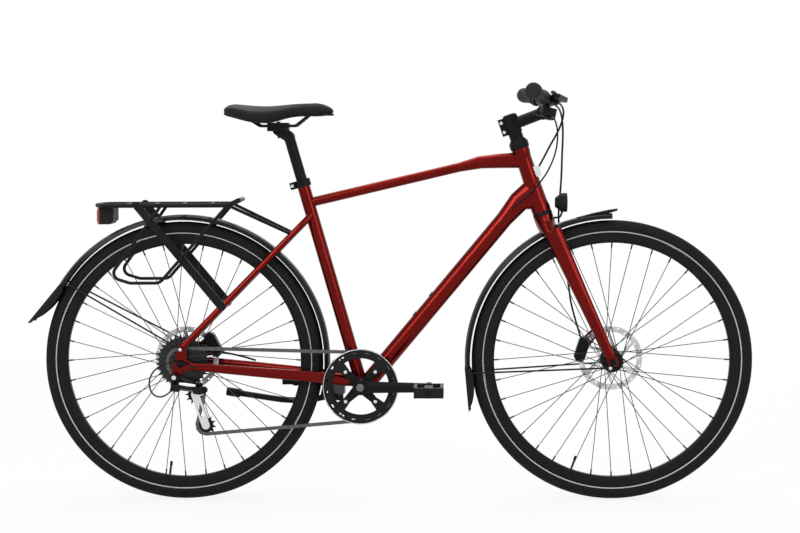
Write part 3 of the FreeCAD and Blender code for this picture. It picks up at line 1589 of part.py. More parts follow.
def paddle(name, reach_out, reach_ahead, tip_radius, low):
    tip = (pod_at[0] - value(reach_out), pod_at[1] + value(reach_ahead))
    solid = right.flat(pod_at, tip, value("thumb_root_radius"), value(tip_radius), low,
                       value("paddle_thickness"))
    end = right.at(*pod_at, low)
    hole = rod(name + "_hole", end - right.up * value("overrun"), end + right.up * value("overrun"),
               "pivot_pin_radius + running_gap")
    node(name, cut(name, feature(name + "_solid", solid), hole))


paddle("shift_thumb_lever", "thumb_reach_out", "-thumb_reach_back", "thumb_tip_radius", thumb_low)
paddle("shift_release_lever", "trigger_reach_out", "trigger_reach_ahead", "trigger_tip_radius", trigger_low)

# Bell
ring, _ = right.ring("bell_ring", "bell_along", "bell_ring_width")
bell_way = (right.up + right.ahead).normalize()
bell_foot = right.at(value("bell_along")) + bell_way * value("bar_radius + clamp_ring_wall/2")
dome = turned("bell_dome", [
    ("0", "0"),
    ("bell_stalk/2", "0"),
    ("bell_stalk/2", "bell_stalk/2"),
    ("bell_radius", "bell_stalk/2"),
    ("bell_radius", "bell_stalk/2 + bell_height/2"),
    ("bell_radius*3/4", "bell_stalk/2 + bell_height*7/8"),
    ("bell_radius*3/8", "bell_stalk/2 + bell_height"),
    ("0", "bell_stalk/2 + bell_height"),
], bell_foot, bell_way)
doc.recompute()
bored = [item.Shape.cut(bar_room.Shape) for item in (ring, dome)]
node("bell", feature("bell", bored[0].fuse(bored[1])))

# Drive: pitch circles in the side view, and the chain that runs round them
COG_TEETH = (32, 28, 24, 21, 18, 15, 13, 11)
CHAIN_COG = 18
pitch = value("chain_pitch")
chain_y = -value("chain_line")


def pitch_radius(teeth):
    return teeth * pitch / (2 * math.pi)


def cage_places(swing):
    # guide and tension pulley for a swing of the cage about its pivot, in degrees
    turn = FreeCAD.Rotation(-Y_AXIS, swing)
    guide = rear_axle + V(value("guide_ahead"), 0, -value("guide_drop"))
    tension = guide + level(value("cage_angle")) * value("cage_length")
    return [cage_pivot + turn.multVec(point - cage_pivot) for point in (guide, tension)]


def belt(circles):
    # runs and arcs of a band round circles: (middle, radius, 1 for anticlockwise or -1)
    tangents = []
    for i, (middle, radius, turn) in enumerate(circles):
        other, other_radius, other_turn = circles[(i + 1) % len(circles)]
        across = other - middle
        lean = math.asin((turn * radius - other_turn * other_radius) / across.Length)
        angle = math.atan2(across.z, across.x) + lean
        normal = V(math.sin(angle), 0, -math.cos(angle))
        tangents.append((middle + normal * (turn * radius), other + normal * (other_turn * other_radius)))
    pieces = []
    for i, (middle, radius, turn) in enumerate(circles):
        start, end = tangents[i]
        arrive = tangents[i - 1][1] - middle
        leave = start - middle
        first = math.atan2(arrive.z, arrive.x)
        sweep = (turn * (math.atan2(leave.z, leave.x) - first)) % (2 * math.pi)
        pieces.append(("arc", sweep * radius, middle, radius, first, turn))
        pieces.append(("run", (end - start).Length, start, end))
    return pieces


def belt_point(pieces, distance):
    for piece in pieces:
        if distance <= piece[1]:
            break
        distance -= piece[1]
    if piece[0] == "run":
        return piece[2] + (piece[3] - piece[2]) * (distance / piece[1])
    angle = piece[4] + piece[5] * distance / piece[3]
    return piece[2] + V(math.cos(angle), 0, math.sin(angle)) * piece[3]


def drive_belt(swing):
    guide, tension = cage_places(swing)
    small = pitch_radius(count("pulley_teeth"))
    return belt([
        (bb, pitch_radius(count("ring_teeth")), 1),
        (rear_axle, pitch_radius(CHAIN_COG), 1),
        (guide, small, -1),
        (tension, small, 1),
    ])


def belt_length(swing):
    return sum(piece[1] for piece in drive_belt(swing))


def cage_swing(length):
    # the swing at which the chain's own length is taken up, found by halving
    low, high = -CAGE_SEARCH, CAGE_SEARCH
    rising = belt_length(high) > belt_length(low)
    for i in range(SEARCH_STEPS):
        middle = (low + high) / 2
        if (belt_length(middle) < length) == rising:
            low = middle
        else:
            high = middle
    return (low + high) / 2


CAGE_SEARCH = 40
SEARCH_STEPS = 60
cage_pivot = rear_axle + V(value("cage_pivot_ahead"), 0, -value("cage_pivot_drop"))
links = 2 * round(belt_length(0) / pitch / 2)
swing = cage_swing(links * pitch)
guide, tension = cage_places(swing)
route = drive_belt(swing)
pins = [belt_point(route, i * pitch) for i in range(links)]
print("chain links", links, "cage swing", round(swing, 2), "length", round(belt_length(swing), 2))


def chain_cheek(start, end, low_y, thickness):
    # a link plate with its rounded ends in a few flats
    radius = value("chain_plate_radius")
    along = (end - start).normalize()
    corners = []
    for middle, turn in ((start, math.pi), (end, 0)):
        for lean in CHEEK_LEANS:
            way = FreeCAD.Rotation(-Y_AXIS, math.degrees(turn + lean)).multVec(along)
            corners.append(middle + way * radius + Y_AXIS * low_y)
    return Part.Face(Part.makePolygon(corners + [corners[0]])).extrude(Y_AXIS * thickness)


CHEEK_LEANS = [math.radians(lean) for lean in (-80, -30, 30, 80)]


def chain_link(start, end, outer):
    # inner links carry the rollers, outer links the pins that run in them
    half = value("chain_inner_width/2")
    plate = value("chain_plate")
    low = half + (plate + value("chain_plate_gap") if outer else 0)
    reach = low + plate
    cheeks = [chain_cheek(start, end, chain_y + y, plate) for y in (low, -reach)]
    bars = []
    holes = []
    for at in (start, end):
        if outer:
            foot = at + Y_AXIS * (chain_y - low)
            bars.append(faceted(value("chain_pin_radius"), low * 2, foot, Y_AXIS, WIRE_SIDES))
        else:
            foot = at + Y_AXIS * (chain_y - half)
            bars.append(faceted(value("roller_radius"), half * 2, foot, Y_AXIS, WIRE_SIDES))
            bore = value("chain_pin_radius + chain_pin_gap") / math.cos(math.pi / WIRE_SIDES)
            foot = at + Y_AXIS * (chain_y - reach)
            holes.append(faceted(bore, reach * 2, foot, Y_AXIS, WIRE_SIDES))
    solid = cheeks[0].fuse([cheeks[1]] + bars)
    return solid.cut(holes) if holes else solid


chain_solids = []
for i in range(links):
    chain_solids.append(chain_link(pins[i], pins[(i + 1) % links], i % 2 == 1))
node("chain", feature("chain", Part.makeCompound(chain_solids)))


def tooth_phase(middle, teeth):
    # the angle of a roller that lies on this pitch circle
    near = min(pins, key=lambda pin: abs((pin - middle).Length - pitch_radius(teeth)))
    return math.atan2(near.z - middle.z, near.x - middle.x)


def sprocket(middle, teeth, phase, y, thickness):
    # a toothed disc: for each pitch a roller seat in three flats, and a tooth
    radius = pitch_radius(teeth)
    seat_radius = value("roller_radius + roller_seat_gap") / math.cos(SEAT_ANGLE / 3)
    tip_radius = radius + value("tooth_height")
    tip_angle = value("tooth_tip/2") / tip_radius
    corners = []
    for i in range(teeth):
        angle = phase + 2 * math.pi * i / teeth
        out = V(math.cos(angle), 0, math.sin(angle))
        side = V(-out.z, 0, out.x)
        roller = middle + out * radius
        for lean in (-1, -1 / 3, 1 / 3, 1):
            turn = lean * SEAT_ANGLE
            corners.append(roller + (side * math.sin(turn) - out * math.cos(turn)) * seat_radius)
        half_step = angle + math.pi / teeth
        for step in (-tip_angle, tip_angle):
            corners.append(around(middle, tip_radius, half_step + step, 0))
    face = Part.Face(Part.makePolygon(corners + [corners[0]]))
    face.translate(V(0, y - thickness / 2, 0))
    return face.extrude(V(0, thickness, 0))


SEAT_ANGLE = math.radians(65)


def spider_points():
    for i in range(count("spider_arms")):
        yield around(bb, value("spider_radius"), math.pi / 4 + 2 * math.pi * i / count("spider_arms"), 0)


def toward(middle, point, radius):
    # a point on the same ray, at another radius
    return middle + (point - middle).normalize() * radius


ROOT_share = 1.5
SLOT_START_share = 0.5
ring_low = chain_y - value("ring_thickness/2")
tab_low = ring_low - value("spider_thickness + fit_gap")
guard_low = tab_low - value("guard_thickness + fit_gap")
ring_half = value("ring_thickness")
ring_body = sprocket(bb, count("ring_teeth"), tooth_phase(bb, count("ring_teeth")), chain_y, ring_half)
ring_body = ring_body.cut(flat_cylinder(bb, value("ring_inner_radius"), ring_low, ring_low + ring_half))
guard_body = flat_cylinder(bb, value("guard_radius"), guard_low, guard_low + value("guard_thickness"))
guard_body = guard_body.cut(flat_cylinder(bb, value("guard_inner_radius"), guard_low,
                                          guard_low + value("guard_thickness")))
ring_tabs = []
guard_tabs = []
arms = []
bolt_holes = []
bolts = []
for point in spider_points():
    ring_root = toward(bb, point, value("ring_inner_radius"))
    guard_root = toward(bb, point, value("guard_inner_radius + guard_tab_radius/2"))
    tab = value("ring_tab_radius")
    ring_tabs.append(side_plate(ring_root, point, tab, tab, ring_low, ring_half))
    tab = value("guard_tab_radius")
    guard_tabs.append(side_plate(guard_root, point, tab * ROOT_share, tab, guard_low,
                                 value("guard_thickness")))
    arms.append(side_plate(bb, point, value("spider_root_radius"), value("spider_tab_radius"), tab_low,
                           value("spider_thickness")))
    hole = value("ring_bolt_radius + fit_gap")
    bolt_holes.append(flat_cylinder(point, hole, guard_low, ring_low + ring_half))
    head = value("ring_bolt_head_height")
    shank = flat_cylinder(point, value("ring_bolt_radius"), guard_low - head, ring_low + ring_half)
    cap = flat_cylinder(point, value("ring_bolt_head"), guard_low - head - value("fit_gap"),
                        guard_low - value("fit_gap"))
    bolts.append(shank.fuse(cap))
slots = []
for i in range(count("guard_slots")):
    angle = 2 * math.pi * (i + SLOT_START_share) / count("guard_slots")
    half = math.radians(value("guard_slot_angle/2"))
    radius = value("(guard_radius + guard_inner_radius)/2")
    ends = [around(bb, radius, angle + step * half, 0) for step in (-1, 1)]
    wide = value("guard_slot_radius")
    slots.append(side_plate(ends[0], ends[1], wide, wide, guard_low, value("guard_thickness")))
ring_piece = feature("ring", ring_body.fuse(ring_tabs).cut(bolt_holes))
node("chainring", ring_piece, feature("chainring_bolts", Part.makeCompound(bolts)))
node("chain_guard", feature("chain_guard", guard_body.fuse(guard_tabs).cut(bolt_holes + slots)))
# Cassette: the freehub on the axle, cogs with their spacers, and the lock ring
freehub_end = "chain_line + cog_spacing*3 + cog_thickness/2 + lockring_width"
freehub = turned("freehub", [
    ("axle_radius + running_gap", f"{rear_right_end} + free_gap"),
    ("freehub_radius", f"{rear_right_end} + free_gap"),
    ("freehub_radius", freehub_end),
    ("hub_end_radius", "rear_hub_width/2 - hub_end_gap*2"),
    ("hub_end_radius", "rear_hub_width/2 - hub_end_gap"),
    ("axle_radius + running_gap", "rear_hub_width/2 - hub_end_gap"),
], rear_axle, -Y_AXIS)
COG_WINDOWS = 6
WINDOW_SIDES = 8
carrier = value("freehub_radius + fit_gap")
cog_solids = []
for i, teeth in enumerate(COG_TEETH):
    y = chain_y - (i - COG_TEETH.index(CHAIN_COG)) * value("cog_spacing")
    thick = value("cog_thickness")
    phase = tooth_phase(rear_axle, teeth) if teeth == CHAIN_COG else 0
    cog = sprocket(rear_axle, teeth, phase, y, thick)
    tools = [flat_cylinder(rear_axle, carrier, y - thick, y + thick)]
    rim_radius = pitch_radius(teeth) - value("chain_pitch")
    space = rim_radius - value("cog_spacer_radius")
    if space > value("chain_pitch"):
        for k in range(COG_WINDOWS):
            angle = 2 * math.pi * k / COG_WINDOWS
            hole = around(rear_axle, rim_radius - space / 2, angle, y - thick)
            tools.append(faceted(space / 2, thick * 2, hole, Y_AXIS, WINDOW_SIDES))
    cog_solids.append(cog.cut(tools))
    gap = value("fit_gap")
    if i + 1 < len(COG_TEETH):
        next_y = y - value("cog_spacing")
        wide = min(value("cog_spacer_radius"),
                   pitch_radius(COG_TEETH[i + 1]) - value("chain_plate_radius + free_gap"))
        low, high = next_y + thick / 2 + gap, y - thick / 2 - gap
    else:
        wide = value("cog_spacer_radius") - value("lockring_width")
        low, high = y - thick / 2 - gap - value("lockring_width"), y - thick / 2 - gap
    collar = flat_cylinder(rear_axle, wide, low, high)
    cog_solids.append(collar.cut(flat_cylinder(rear_axle, carrier, low, high)))
node("cassette", freehub, feature("cogs", Part.makeCompound(cog_solids)))


# Cranks with their pedal spindles, and pedals that turn on them
def crank(label, side, way):
    # side is 1 on the left; way is 1 for an arm that points forward
    def across(inner, outer):
        return sorted((side * value(inner), side * value(outer)))

    eye = bb + X_AXIS * (way * value("crank_length"))
    arm = loft(label + "_arm", [
        (bb + Y_AXIS * (side * value("crank_root_side")), X_AXIS, value("crank_root_thickness/2"),
         value("crank_root_depth/2")),
        (eye + Y_AXIS * (side * value("crank_tip_side")), X_AXIS, value("crank_tip_thickness/2"),
         value("crank_tip_depth/2")),
    ])
    boss = feature(label + "_boss", flat_cylinder(
        bb, value("crank_boss_radius"), *across(label + "_boss_inner", "crank_boss_outer")))
    tip = feature(label + "_eye", flat_cylinder(
        eye, value("crank_eye_radius"), *across("crank_tip_side - crank_tip_thickness/2 - fit_gap",
                                                "crank_tip_side + crank_tip_thickness/2 + fit_gap")))
    hole = feature(label + "_pedal_hole", flat_cylinder(
        eye, value("pedal_axle_radius + fit_gap"), *across("crank_tip_side - crank_tip_thickness",
                                                           "crank_tip_side + crank_tip_thickness")))
    pedal_start = eye + Y_AXIS * (side * value("crank_tip_side - crank_tip_thickness/2"))
    pedal_end = pedal_start + Y_AXIS * (side * value("crank_tip_thickness + pedal_axle_length"))
    axle = rod(label + "_pedal_axle", pedal_start, pedal_end, "pedal_axle_radius")
    return eye, [arm, boss, tip], hole, axle


eye, pieces, hole, axle = crank("right_crank", -1, 1)
spindle = feature("crank_spindle", flat_cylinder(
    bb, value("spindle_radius"), -value("crank_boss_outer - fit_gap*2"), value("spindle_end")))
spider = feature("spider", arms[0].fuse(arms[1:]).cut(bolt_holes))
node("right_crank", cut("right_crank", fuse("right_crank_whole", spindle, spider, *pieces), hole), axle)
right_eye = eye

eye, pieces, hole, axle = crank("left_crank", 1, -1)
spindle_hole = feature("spindle_hole", flat_cylinder(
    bb, value("spindle_radius + fit_gap"), 0, value("spindle_end + free_gap")))
node("left_crank", cut("left_crank", fuse("left_crank_whole", *pieces), hole, spindle_hole), axle)
left_eye = eye


def pedal(label, eye, side):
    # a platform of two rails and two ends round a barrel on the spindle
    start = value("crank_tip_side + crank_tip_thickness/2 + pedal_gap")
    middle = eye + Y_AXIS * (side * (start + value("pedal_width/2")))
    flat = FreeCAD.Rotation()
    foot = middle - Z_AXIS * value("pedal_height/2")
    slab = block(label + "_slab", foot, flat, "pedal_length", "pedal_width", "pedal_height")
    width = "pedal_width - pedal_rail*2"
    window = "pedal_length/2 - pedal_barrel_radius - pedal_rail"
    tools = []
    for step in (-1, 1):
        at = foot + X_AXIS * (step * value(f"pedal_barrel_radius + ({window})/2")) - Z_AXIS
        tools.append(block(label + "_window", at, flat, window, width, "pedal_height*2"))
        saddle = middle + Z_AXIS * (step * value("pedal_barrel_radius"))
        if step < 0:
            saddle = saddle - Z_AXIS * value("pedal_height")
        tools.append(block(label + "_recess", saddle, flat, "pedal_barrel_radius*2", width, "pedal_height"))
    tools.append(disc(label + "_bore", middle, "pedal_axle_radius + running_gap", "pedal_width*2"))
    node(label, cut(label, slab, *tools))


pedal("right_pedal", right_eye, -1)
pedal("left_pedal", left_eye, 1)
# Rear derailleur: a four-bar of two links between bracket and knuckle, with the sprung cage below
slant = math.radians(value("link_slant"))
hinge_axis = V(0, math.sin(slant), math.cos(slant))
inward = value("link_inward")
link_run = V(value("link_ahead"), inward, -inward * math.tan(slant))
link_along = V(link_run).normalize()
link_aside = hinge_axis.cross(link_along)
link_frame = FreeCAD.Rotation(link_along, link_aside, hinge_axis, "ZXY")
spacing = value("link_spacing")
front_middle = cage_pivot + V(-value("link_front_back"), -value("link_front_side"),
                              value("link_front_rise"))
outer_pivot = front_middle - link_run - link_aside * (spacing / 2)
inner_pivot = outer_pivot + link_aside * spacing
reach = link_run.Length
ear_low = value("link_height/2 + free_gap")
ear_high = ear_low + value("ear_thickness")


def in_linkage(shape):
    shape.Placement = FreeCAD.Placement(outer_pivot, link_frame)
    return shape


def pivoted(start, end, radius, low, high):
    # a link in the linkage's own plane, from one height to another
    face = link_face(start, end, radius, radius)
    face.translate(V(0, 0, low))
    return face.extrude(V(0, 0, high - low))


def derailleur_link(label, aside, radius):
    start = V(0, aside, 0)
    end = V(reach, aside, 0)
    half = value("link_height/2")
    bar = pivoted(start, end, radius, -half, half)
    bore = value("link_pin_radius + running_gap")
    holes = [Part.makeCylinder(bore, half * 2, at - Z_AXIS * half) for at in (start, end)]
    node(label, feature(label, in_linkage(bar.cut(holes))))


def ears(along, web):
    # two cheeks with the pins of both links, joined by a web clear of them
    pieces = []
    near = V(along, 0, 0)
    far = V(along, spacing, 0)
    back = V(along + web, 0, 0)
    back_far = V(along + web, spacing, 0)
    radius = value("ear_radius")
    for low, high in ((-ear_high, -ear_low), (ear_low, ear_high)):
        for start, end in ((near, far), (near, back), (far, back_far)):
            pieces.append(pivoted(start, end, radius, low, high))
    pieces.append(pivoted(back, back_far, value("ear_web_radius"), -ear_high, ear_high))
    for at in (near, far):
        pieces.append(Part.makeCylinder(value("link_pin_radius"), ear_high * 2, at - Z_AXIS * ear_high))
    return in_linkage(pieces[0].fuse(pieces[1:]))


derailleur_link("derailleur_outer_link", 0, value("link_radius"))
derailleur_link("derailleur_inner_link", spacing, value("inner_link_radius"))

# the shift cable's rear loop, as X, Y and Z places in millimetres; the adjuster takes its end
SHIFT_LOOP_ROUTE = (
    (-470, -79, 338), (-508, -90, 354), (-548, -87, 352), (-580, -84.5, 330), (-590, -84, 298),
    (-578, -85, 270), (-550, -88, 266), (-534, -86.5, 282),
)
dropout_face = value("rear_hub_width/2 + dropout_thickness")
barrel_low = -(dropout_face + value("fit_gap + bracket_length"))
barrel = flat_cylinder(hanger, value("bracket_radius"), barrel_low, -(dropout_face + value("fit_gap")))
bolt = flat_cylinder(hanger, value("hanger_bolt_radius"), barrel_low, -value("rear_hub_width/2"))
web_middle = outer_pivot + link_aside * (spacing / 2) - link_along * value("ear_web")
arm_start = V(hanger.x, (barrel_low - dropout_face) / 2, hanger.z)
arm_way = web_middle - arm_start
bracket_arm = Part.makeCylinder(value("bracket_arm_radius"), arm_way.Length, arm_start, arm_way)
loop_end = V(*SHIFT_LOOP_ROUTE[-1])
adjuster_way = (loop_end - V(*SHIFT_LOOP_ROUTE[-2])).normalize()
adjuster_start = loop_end + adjuster_way * value("free_gap")
adjuster = Part.makeCylinder(value("adjuster_radius"), value("adjuster_length"), adjuster_start,
                             adjuster_way)
bracket = ears(0, -value("ear_web")).fuse([barrel, bolt, bracket_arm, adjuster])
node("derailleur_bracket", feature("derailleur_bracket", bracket))

cage_outer = chain_y - value("cage_half_gap + cage_plate")
knuckle_high = cage_outer - value("free_gap")
knuckle_low = knuckle_high - value("knuckle_length")
knuckle = flat_cylinder(cage_pivot, value("knuckle_radius"), knuckle_low, knuckle_high)
front_web = front_middle + link_along * value("ear_web")
knuckle_middle = V(cage_pivot.x, (knuckle_low + knuckle_high) / 2, cage_pivot.z)
knuckle_way = knuckle_middle - front_web
knuckle_arm = Part.makeCylinder(value("bracket_arm_radius"), knuckle_way.Length, front_web, knuckle_way)
stub_hole = flat_cylinder(cage_pivot, value("cage_stub_radius + running_gap"),
                          knuckle_low + value("ear_thickness"), knuckle_high)
knuckle = ears(reach, value("ear_web")).fuse([knuckle, knuckle_arm]).cut(stub_hole)
node("derailleur_knuckle", feature("derailleur_knuckle", knuckle))

CAGE_WINDOW_shares = (0.36, 0.68)
WINDOW_share = 0.5
end_radius = value("cage_end_radius")
thick = value("cage_plate")
inner_plate = side_plate(guide, tension, end_radius, end_radius, chain_y + value("cage_half_gap"), thick)
outer_plate = side_plate(guide, tension, end_radius, end_radius, cage_outer, thick)
neck = side_plate(cage_pivot, guide, value("knuckle_radius"), end_radius, cage_outer, thick)
window_ends = [guide + (tension - guide) * share for share in CAGE_WINDOW_shares]
windows = []
for low in (chain_y + value("cage_half_gap"), cage_outer):
    window_radius = end_radius * WINDOW_share
    windows.append(side_plate(*window_ends, window_radius, window_radius, low, thick))
stub = flat_cylinder(cage_pivot, value("cage_stub_radius"),
                     knuckle_low + value("ear_thickness + free_gap"), cage_outer + thick)
pulley_bolts = []
for at in (guide, tension):
    pulley_bolts.append(flat_cylinder(at, value("pulley_bolt_radius"), cage_outer - thick / 2,
                                      chain_y + value("cage_half_gap") + thick * 3 / 2))
cage = outer_plate.fuse([inner_plate, neck, stub] + pulley_bolts).cut(windows)
node("derailleur_cage", feature("derailleur_cage", cage))


def pulley(label, middle):
    half = value("cage_half_gap - free_gap")
    teeth = count("pulley_teeth")
    wheel = sprocket(middle, teeth, tooth_phase(middle, teeth), chain_y, value("pulley_thickness"))
    hub_body = flat_cylinder(middle, value("pulley_hub_radius"), chain_y - half, chain_y + half)
    bore = flat_cylinder(middle, value("pulley_bolt_radius + running_gap"), chain_y - half, chain_y + half)
    node(label, feature(label, wheel.fuse(hub_body).cut(bore)))


pulley("guide_pulley", guide)
pulley("tension_pulley", tension)
# Seatpost with its rail clamp
post_start = seat(value("post_start"))
post_end = seat(value("post_start + post_length"))
post_tube = rod("post_tube", post_start, post_end, "seatpost_radius")
rail_z = value("rail_height")
head_end = post_end + V(-value("head_setback"), 0, value("head_rise"))
neck_radius = value("head_neck_radius")
neck_width = value("head_neck_width")
head_neck = feature("head_neck", side_plate(
    post_end, head_end, neck_radius, neck_radius, -neck_width / 2, neck_width))
cradle_foot = V(head_end.x, 0, rail_z - value("cradle_height"))
cradle = block("cradle", cradle_foot, FreeCAD.Rotation(), "cradle_length", "cradle_width",
               "cradle_height - fit_gap")
top_clamp = block("top_clamp", V(head_end.x, 0, rail_z), FreeCAD.Rotation(), "cradle_length",
                  "cradle_width", "rail_clamp_height")
grooves = []
for side in (-1, 1):
    start = V(value("rail_rear_bend_x"), side * value("rail_half_gap"), rail_z)
    end = start + X_AXIS * value("rail_front_bend_x - rail_rear_bend_x + overrun")
    grooves.append(rod("rail_groove", start - X_AXIS * value("overrun"), end, "rail_radius + fit_gap"))
bolt_foot = V(head_end.x, 0, rail_z - value("cradle_height + head_rise"))
clamp_bolt = fuse(
    "clamp_bolt",
    rod("clamp_bolt_shank", bolt_foot,
        V(head_end.x, 0, rail_z + value("rail_clamp_height + rail_bolt_radius")), "rail_bolt_radius"),
    rod("clamp_bolt_head", V(head_end.x, 0, rail_z + value("rail_clamp_height + fit_gap")),
        V(head_end.x, 0, rail_z + value("rail_clamp_height + rail_bolt_radius")), "rail_bolt_head"))
clamp_hole = rod("clamp_hole", bolt_foot - Z_AXIS * value("fit_gap"),
                 V(head_end.x, 0, rail_z + value("overrun")), "rail_bolt_radius + fit_gap")
clamp_room = block("clamp_room", V(head_end.x, 0, rail_z - value("fit_gap")), FreeCAD.Rotation(),
                   "cradle_length", "cradle_width", "rail_clamp_height*2")
post_whole = fuse("post_whole", post_tube, head_neck, cradle)
post = cut("seatpost_body", post_whole, *grooves, clamp_hole, clamp_room)
node("seatpost", post, cut("rail_clamp", top_clamp, *grooves, clamp_hole), clamp_bolt)

# Saddle: stations are X, half width, height of the skirt and height of the crown
SADDLE_STATIONS = (
    ("saddle_x0", "saddle_w0", "saddle_s0", "saddle_c0"),
    ("saddle_x1", "saddle_w1", "saddle_s1", "saddle_c1"),
    ("saddle_x2", "saddle_w2", "saddle_s2", "saddle_c2"),
    ("saddle_x3", "saddle_w3", "saddle_s3", "saddle_c3"),
    ("saddle_x4", "saddle_w4", "saddle_s4", "saddle_c4"),
    ("saddle_x5", "saddle_w5", "saddle_s5", "saddle_c5"),
    ("saddle_x6", "saddle_w6", "saddle_s6", "saddle_c6"),
    ("saddle_x7", "saddle_w7", "saddle_s7", "saddle_c7"),
)
HEM_share = 0.88
SHOULDER_WIDTH_share = 0.8
SHOULDER_HEIGHT_share = 0.72
BULGE_HEIGHT_share = 0.35
BASE_WIDTH_share = 0.74


def saddle_section(x, half, skirt, crown):
    # drawn in at the hem, fullest above it, and crowned on top
    vault = vault_height(half, skirt, crown, 0)
    hem = half * HEM_share
    shoulder = half * SHOULDER_WIDTH_share
    bulge_z = skirt + (crown - skirt) * BULGE_HEIGHT_share
    shoulder_z = skirt + (crown - skirt) * SHOULDER_HEIGHT_share
    edges = [
        Part.Arc(V(x, -hem, skirt), V(x, 0, vault), V(x, hem, skirt)).toShape(),
        Part.Arc(V(x, hem, skirt), V(x, half, bulge_z), V(x, shoulder, shoulder_z)).toShape(),
        Part.Arc(V(x, shoulder, shoulder_z), V(x, 0, crown), V(x, -shoulder, shoulder_z)).toShape(),
        Part.Arc(V(x, -shoulder, shoulder_z), V(x, -half, bulge_z), V(x, -hem, skirt)).toShape(),
    ]
    return Part.Wire(edges)


def vault_height(half, skirt, crown, y):
    # the arched underside of the cushion
    top = max(crown - value("cushion_depth"), skirt + value("fit_gap"))
    sag = top - skirt
    radius = ((half * HEM_share) ** 2 + sag ** 2) / (2 * sag)
    return top - radius + math.sqrt(radius ** 2 - y ** 2)


def base_section(x, half, skirt, crown):
    # an arched plate under the cushion
    edge = half * BASE_WIDTH_share
    edges = []
    corners = []
    for drop in (value("free_gap"), value("free_gap + base_thickness")):
        side_z = vault_height(half, skirt, crown, edge) - drop
        middle_z = vault_height(half, skirt, crown, 0) - drop
        corners.append((V(x, -edge, side_z), V(x, 0, middle_z), V(x, edge, side_z)))
    (a, b, c), (d, e, f) = corners
    edges.append(Part.Arc(a, b, c).toShape())
    edges.append(Part.LineSegment(c, f).toShape())
    edges.append(Part.Arc(f, e, d).toShape())
    edges.append(Part.LineSegment(d, a).toShape())
    return Part.Wire(edges)


def station_loft(name, section, stations):
    sections = []
    for names in stations:
        sections.append(feature(name + "_section", section(*[value(text) for text in names])))
    item = doc.addObject("Part::Loft", name)
    item.Sections = sections
    item.Solid = True
    return item


node("saddle_cover", station_loft("saddle_cover", saddle_section, SADDLE_STATIONS))
rails = []
for side in (-1, 1):
    rails.append(bent_tube("rail", [
        V(value("rail_rear_x"), side * value("rail_rear_half_gap"), value("rail_rear_z")),
        V(value("rail_rear_bend_x"), side * value("rail_half_gap"), rail_z),
        V(value("rail_front_bend_x"), side * value("rail_half_gap"), rail_z),
        V(value("rail_front_x"), side * value("rail_front_half_gap"), value("rail_front_z")),
    ], "rail_radius", value("rail_bend")))
base_plate = station_loft("base_plate", base_section, SADDLE_STATIONS)
node("saddle_base", cut("saddle_base", fuse("saddle_frame", base_plate, *rails), NODES["saddle_cover"]))
# Rear rack: one welded piece of deck loop, bars, legs, pannier rails and struts
rack_z = value("rack_height")


def rack_point(x, side, drop="0"):
    return V(value(x), side, rack_z - value(drop))


def stay_point(side, z):
    # the middle of a seatstay at a height
    joint = seat(value("seatstay_joint"))
    low = rear_axle + V(value("seatstay_end_ahead"), 0, value("seatstay_end_rise"))
    neck = joint + (low - joint).normalize() * value("seatstay_neck_run")
    neck = neck + Y_AXIS * (side * value("seatstay_neck_side"))
    low = low + Y_AXIS * (side * value("rear_hub_width/2 + dropout_thickness/2"))
    return neck + (low - neck) * ((neck.z - z) / (neck.z - low.z))


rack_side = value("rack_side")
deck = bent_tube("rack_deck", [
    rack_point("rack_lip_x", value("rack_lip_side"), "-rack_lip_rise"),
    rack_point("rack_front_x", rack_side),
    rack_point("rack_corner_x", rack_side),
    rack_point("rack_rear_x", value("rack_rear_side")),
    rack_point("rack_rear_x", -value("rack_rear_side")),
    rack_point("rack_corner_x", -rack_side),
    rack_point("rack_front_x", -rack_side),
    rack_point("rack_lip_x", -value("rack_lip_side"), "-rack_lip_rise"),
], "rack_tube_radius", value("rack_bend"))
lip = rack_point("rack_lip_x", 0, "-rack_lip_rise")
lip_half = Y_AXIS * value("rack_lip_side + rack_tube_radius")
rack_pieces = [deck, rod("rack_lip", lip - lip_half, lip + lip_half, "rack_tube_radius")]
for i in range(count("rack_bars")):
    at = rack_point(f"rack_bar_first_x - rack_bar_step*{i}", 0)
    rack_pieces.append(rod("rack_bar", at - Y_AXIS * rack_side, at + Y_AXIS * rack_side, "rack_bar_radius"))
for side in (-1, 1):
    foot = stay_point(side, value("leg_low_height"))
    inner = value("leg_inner_side") if side > 0 else -value("leg_inner_side + leg_thickness")
    half = value("leg_width/2")
    leg_top = rack_point("rack_leg_top_x", 0)
    rack_pieces.append(feature("rack_leg", side_plate(
        leg_top, foot, half, half, inner, value("leg_thickness"))))
    boss_end = V(foot.x, side * value("leg_inner_side + leg_thickness*2"), foot.z)
    rack_pieces.append(rod("rack_boss", foot, boss_end, "rack_boss_radius"))
    strut_low = stay_point(side, value("strut_low_height"))
    strut_top = rack_point("strut_rear_x", side * value("strut_rear_side + rack_tube_radius*2"))
    rack_pieces.append(rod("rack_strut", strut_low, strut_top, "rack_bar_radius"))
    wide = side * value("pannier_side")
    rack_pieces.append(bent_tube("pannier_rail", [
        rack_point("pannier_front_x", side * rack_side),
        V(value("pannier_low_front_x"), wide, value("pannier_low_z")),
        V(value("pannier_low_x"), wide, value("pannier_low_z")),
        V(value("pannier_rear_x"), wide, value("pannier_rear_z")),
        rack_point("pannier_top_x", side * rack_side),
    ], "pannier_radius", value("pannier_bend")))
node("rear_rack", cut("rear_rack", fuse("rack_whole", *rack_pieces), left_core, right_core))


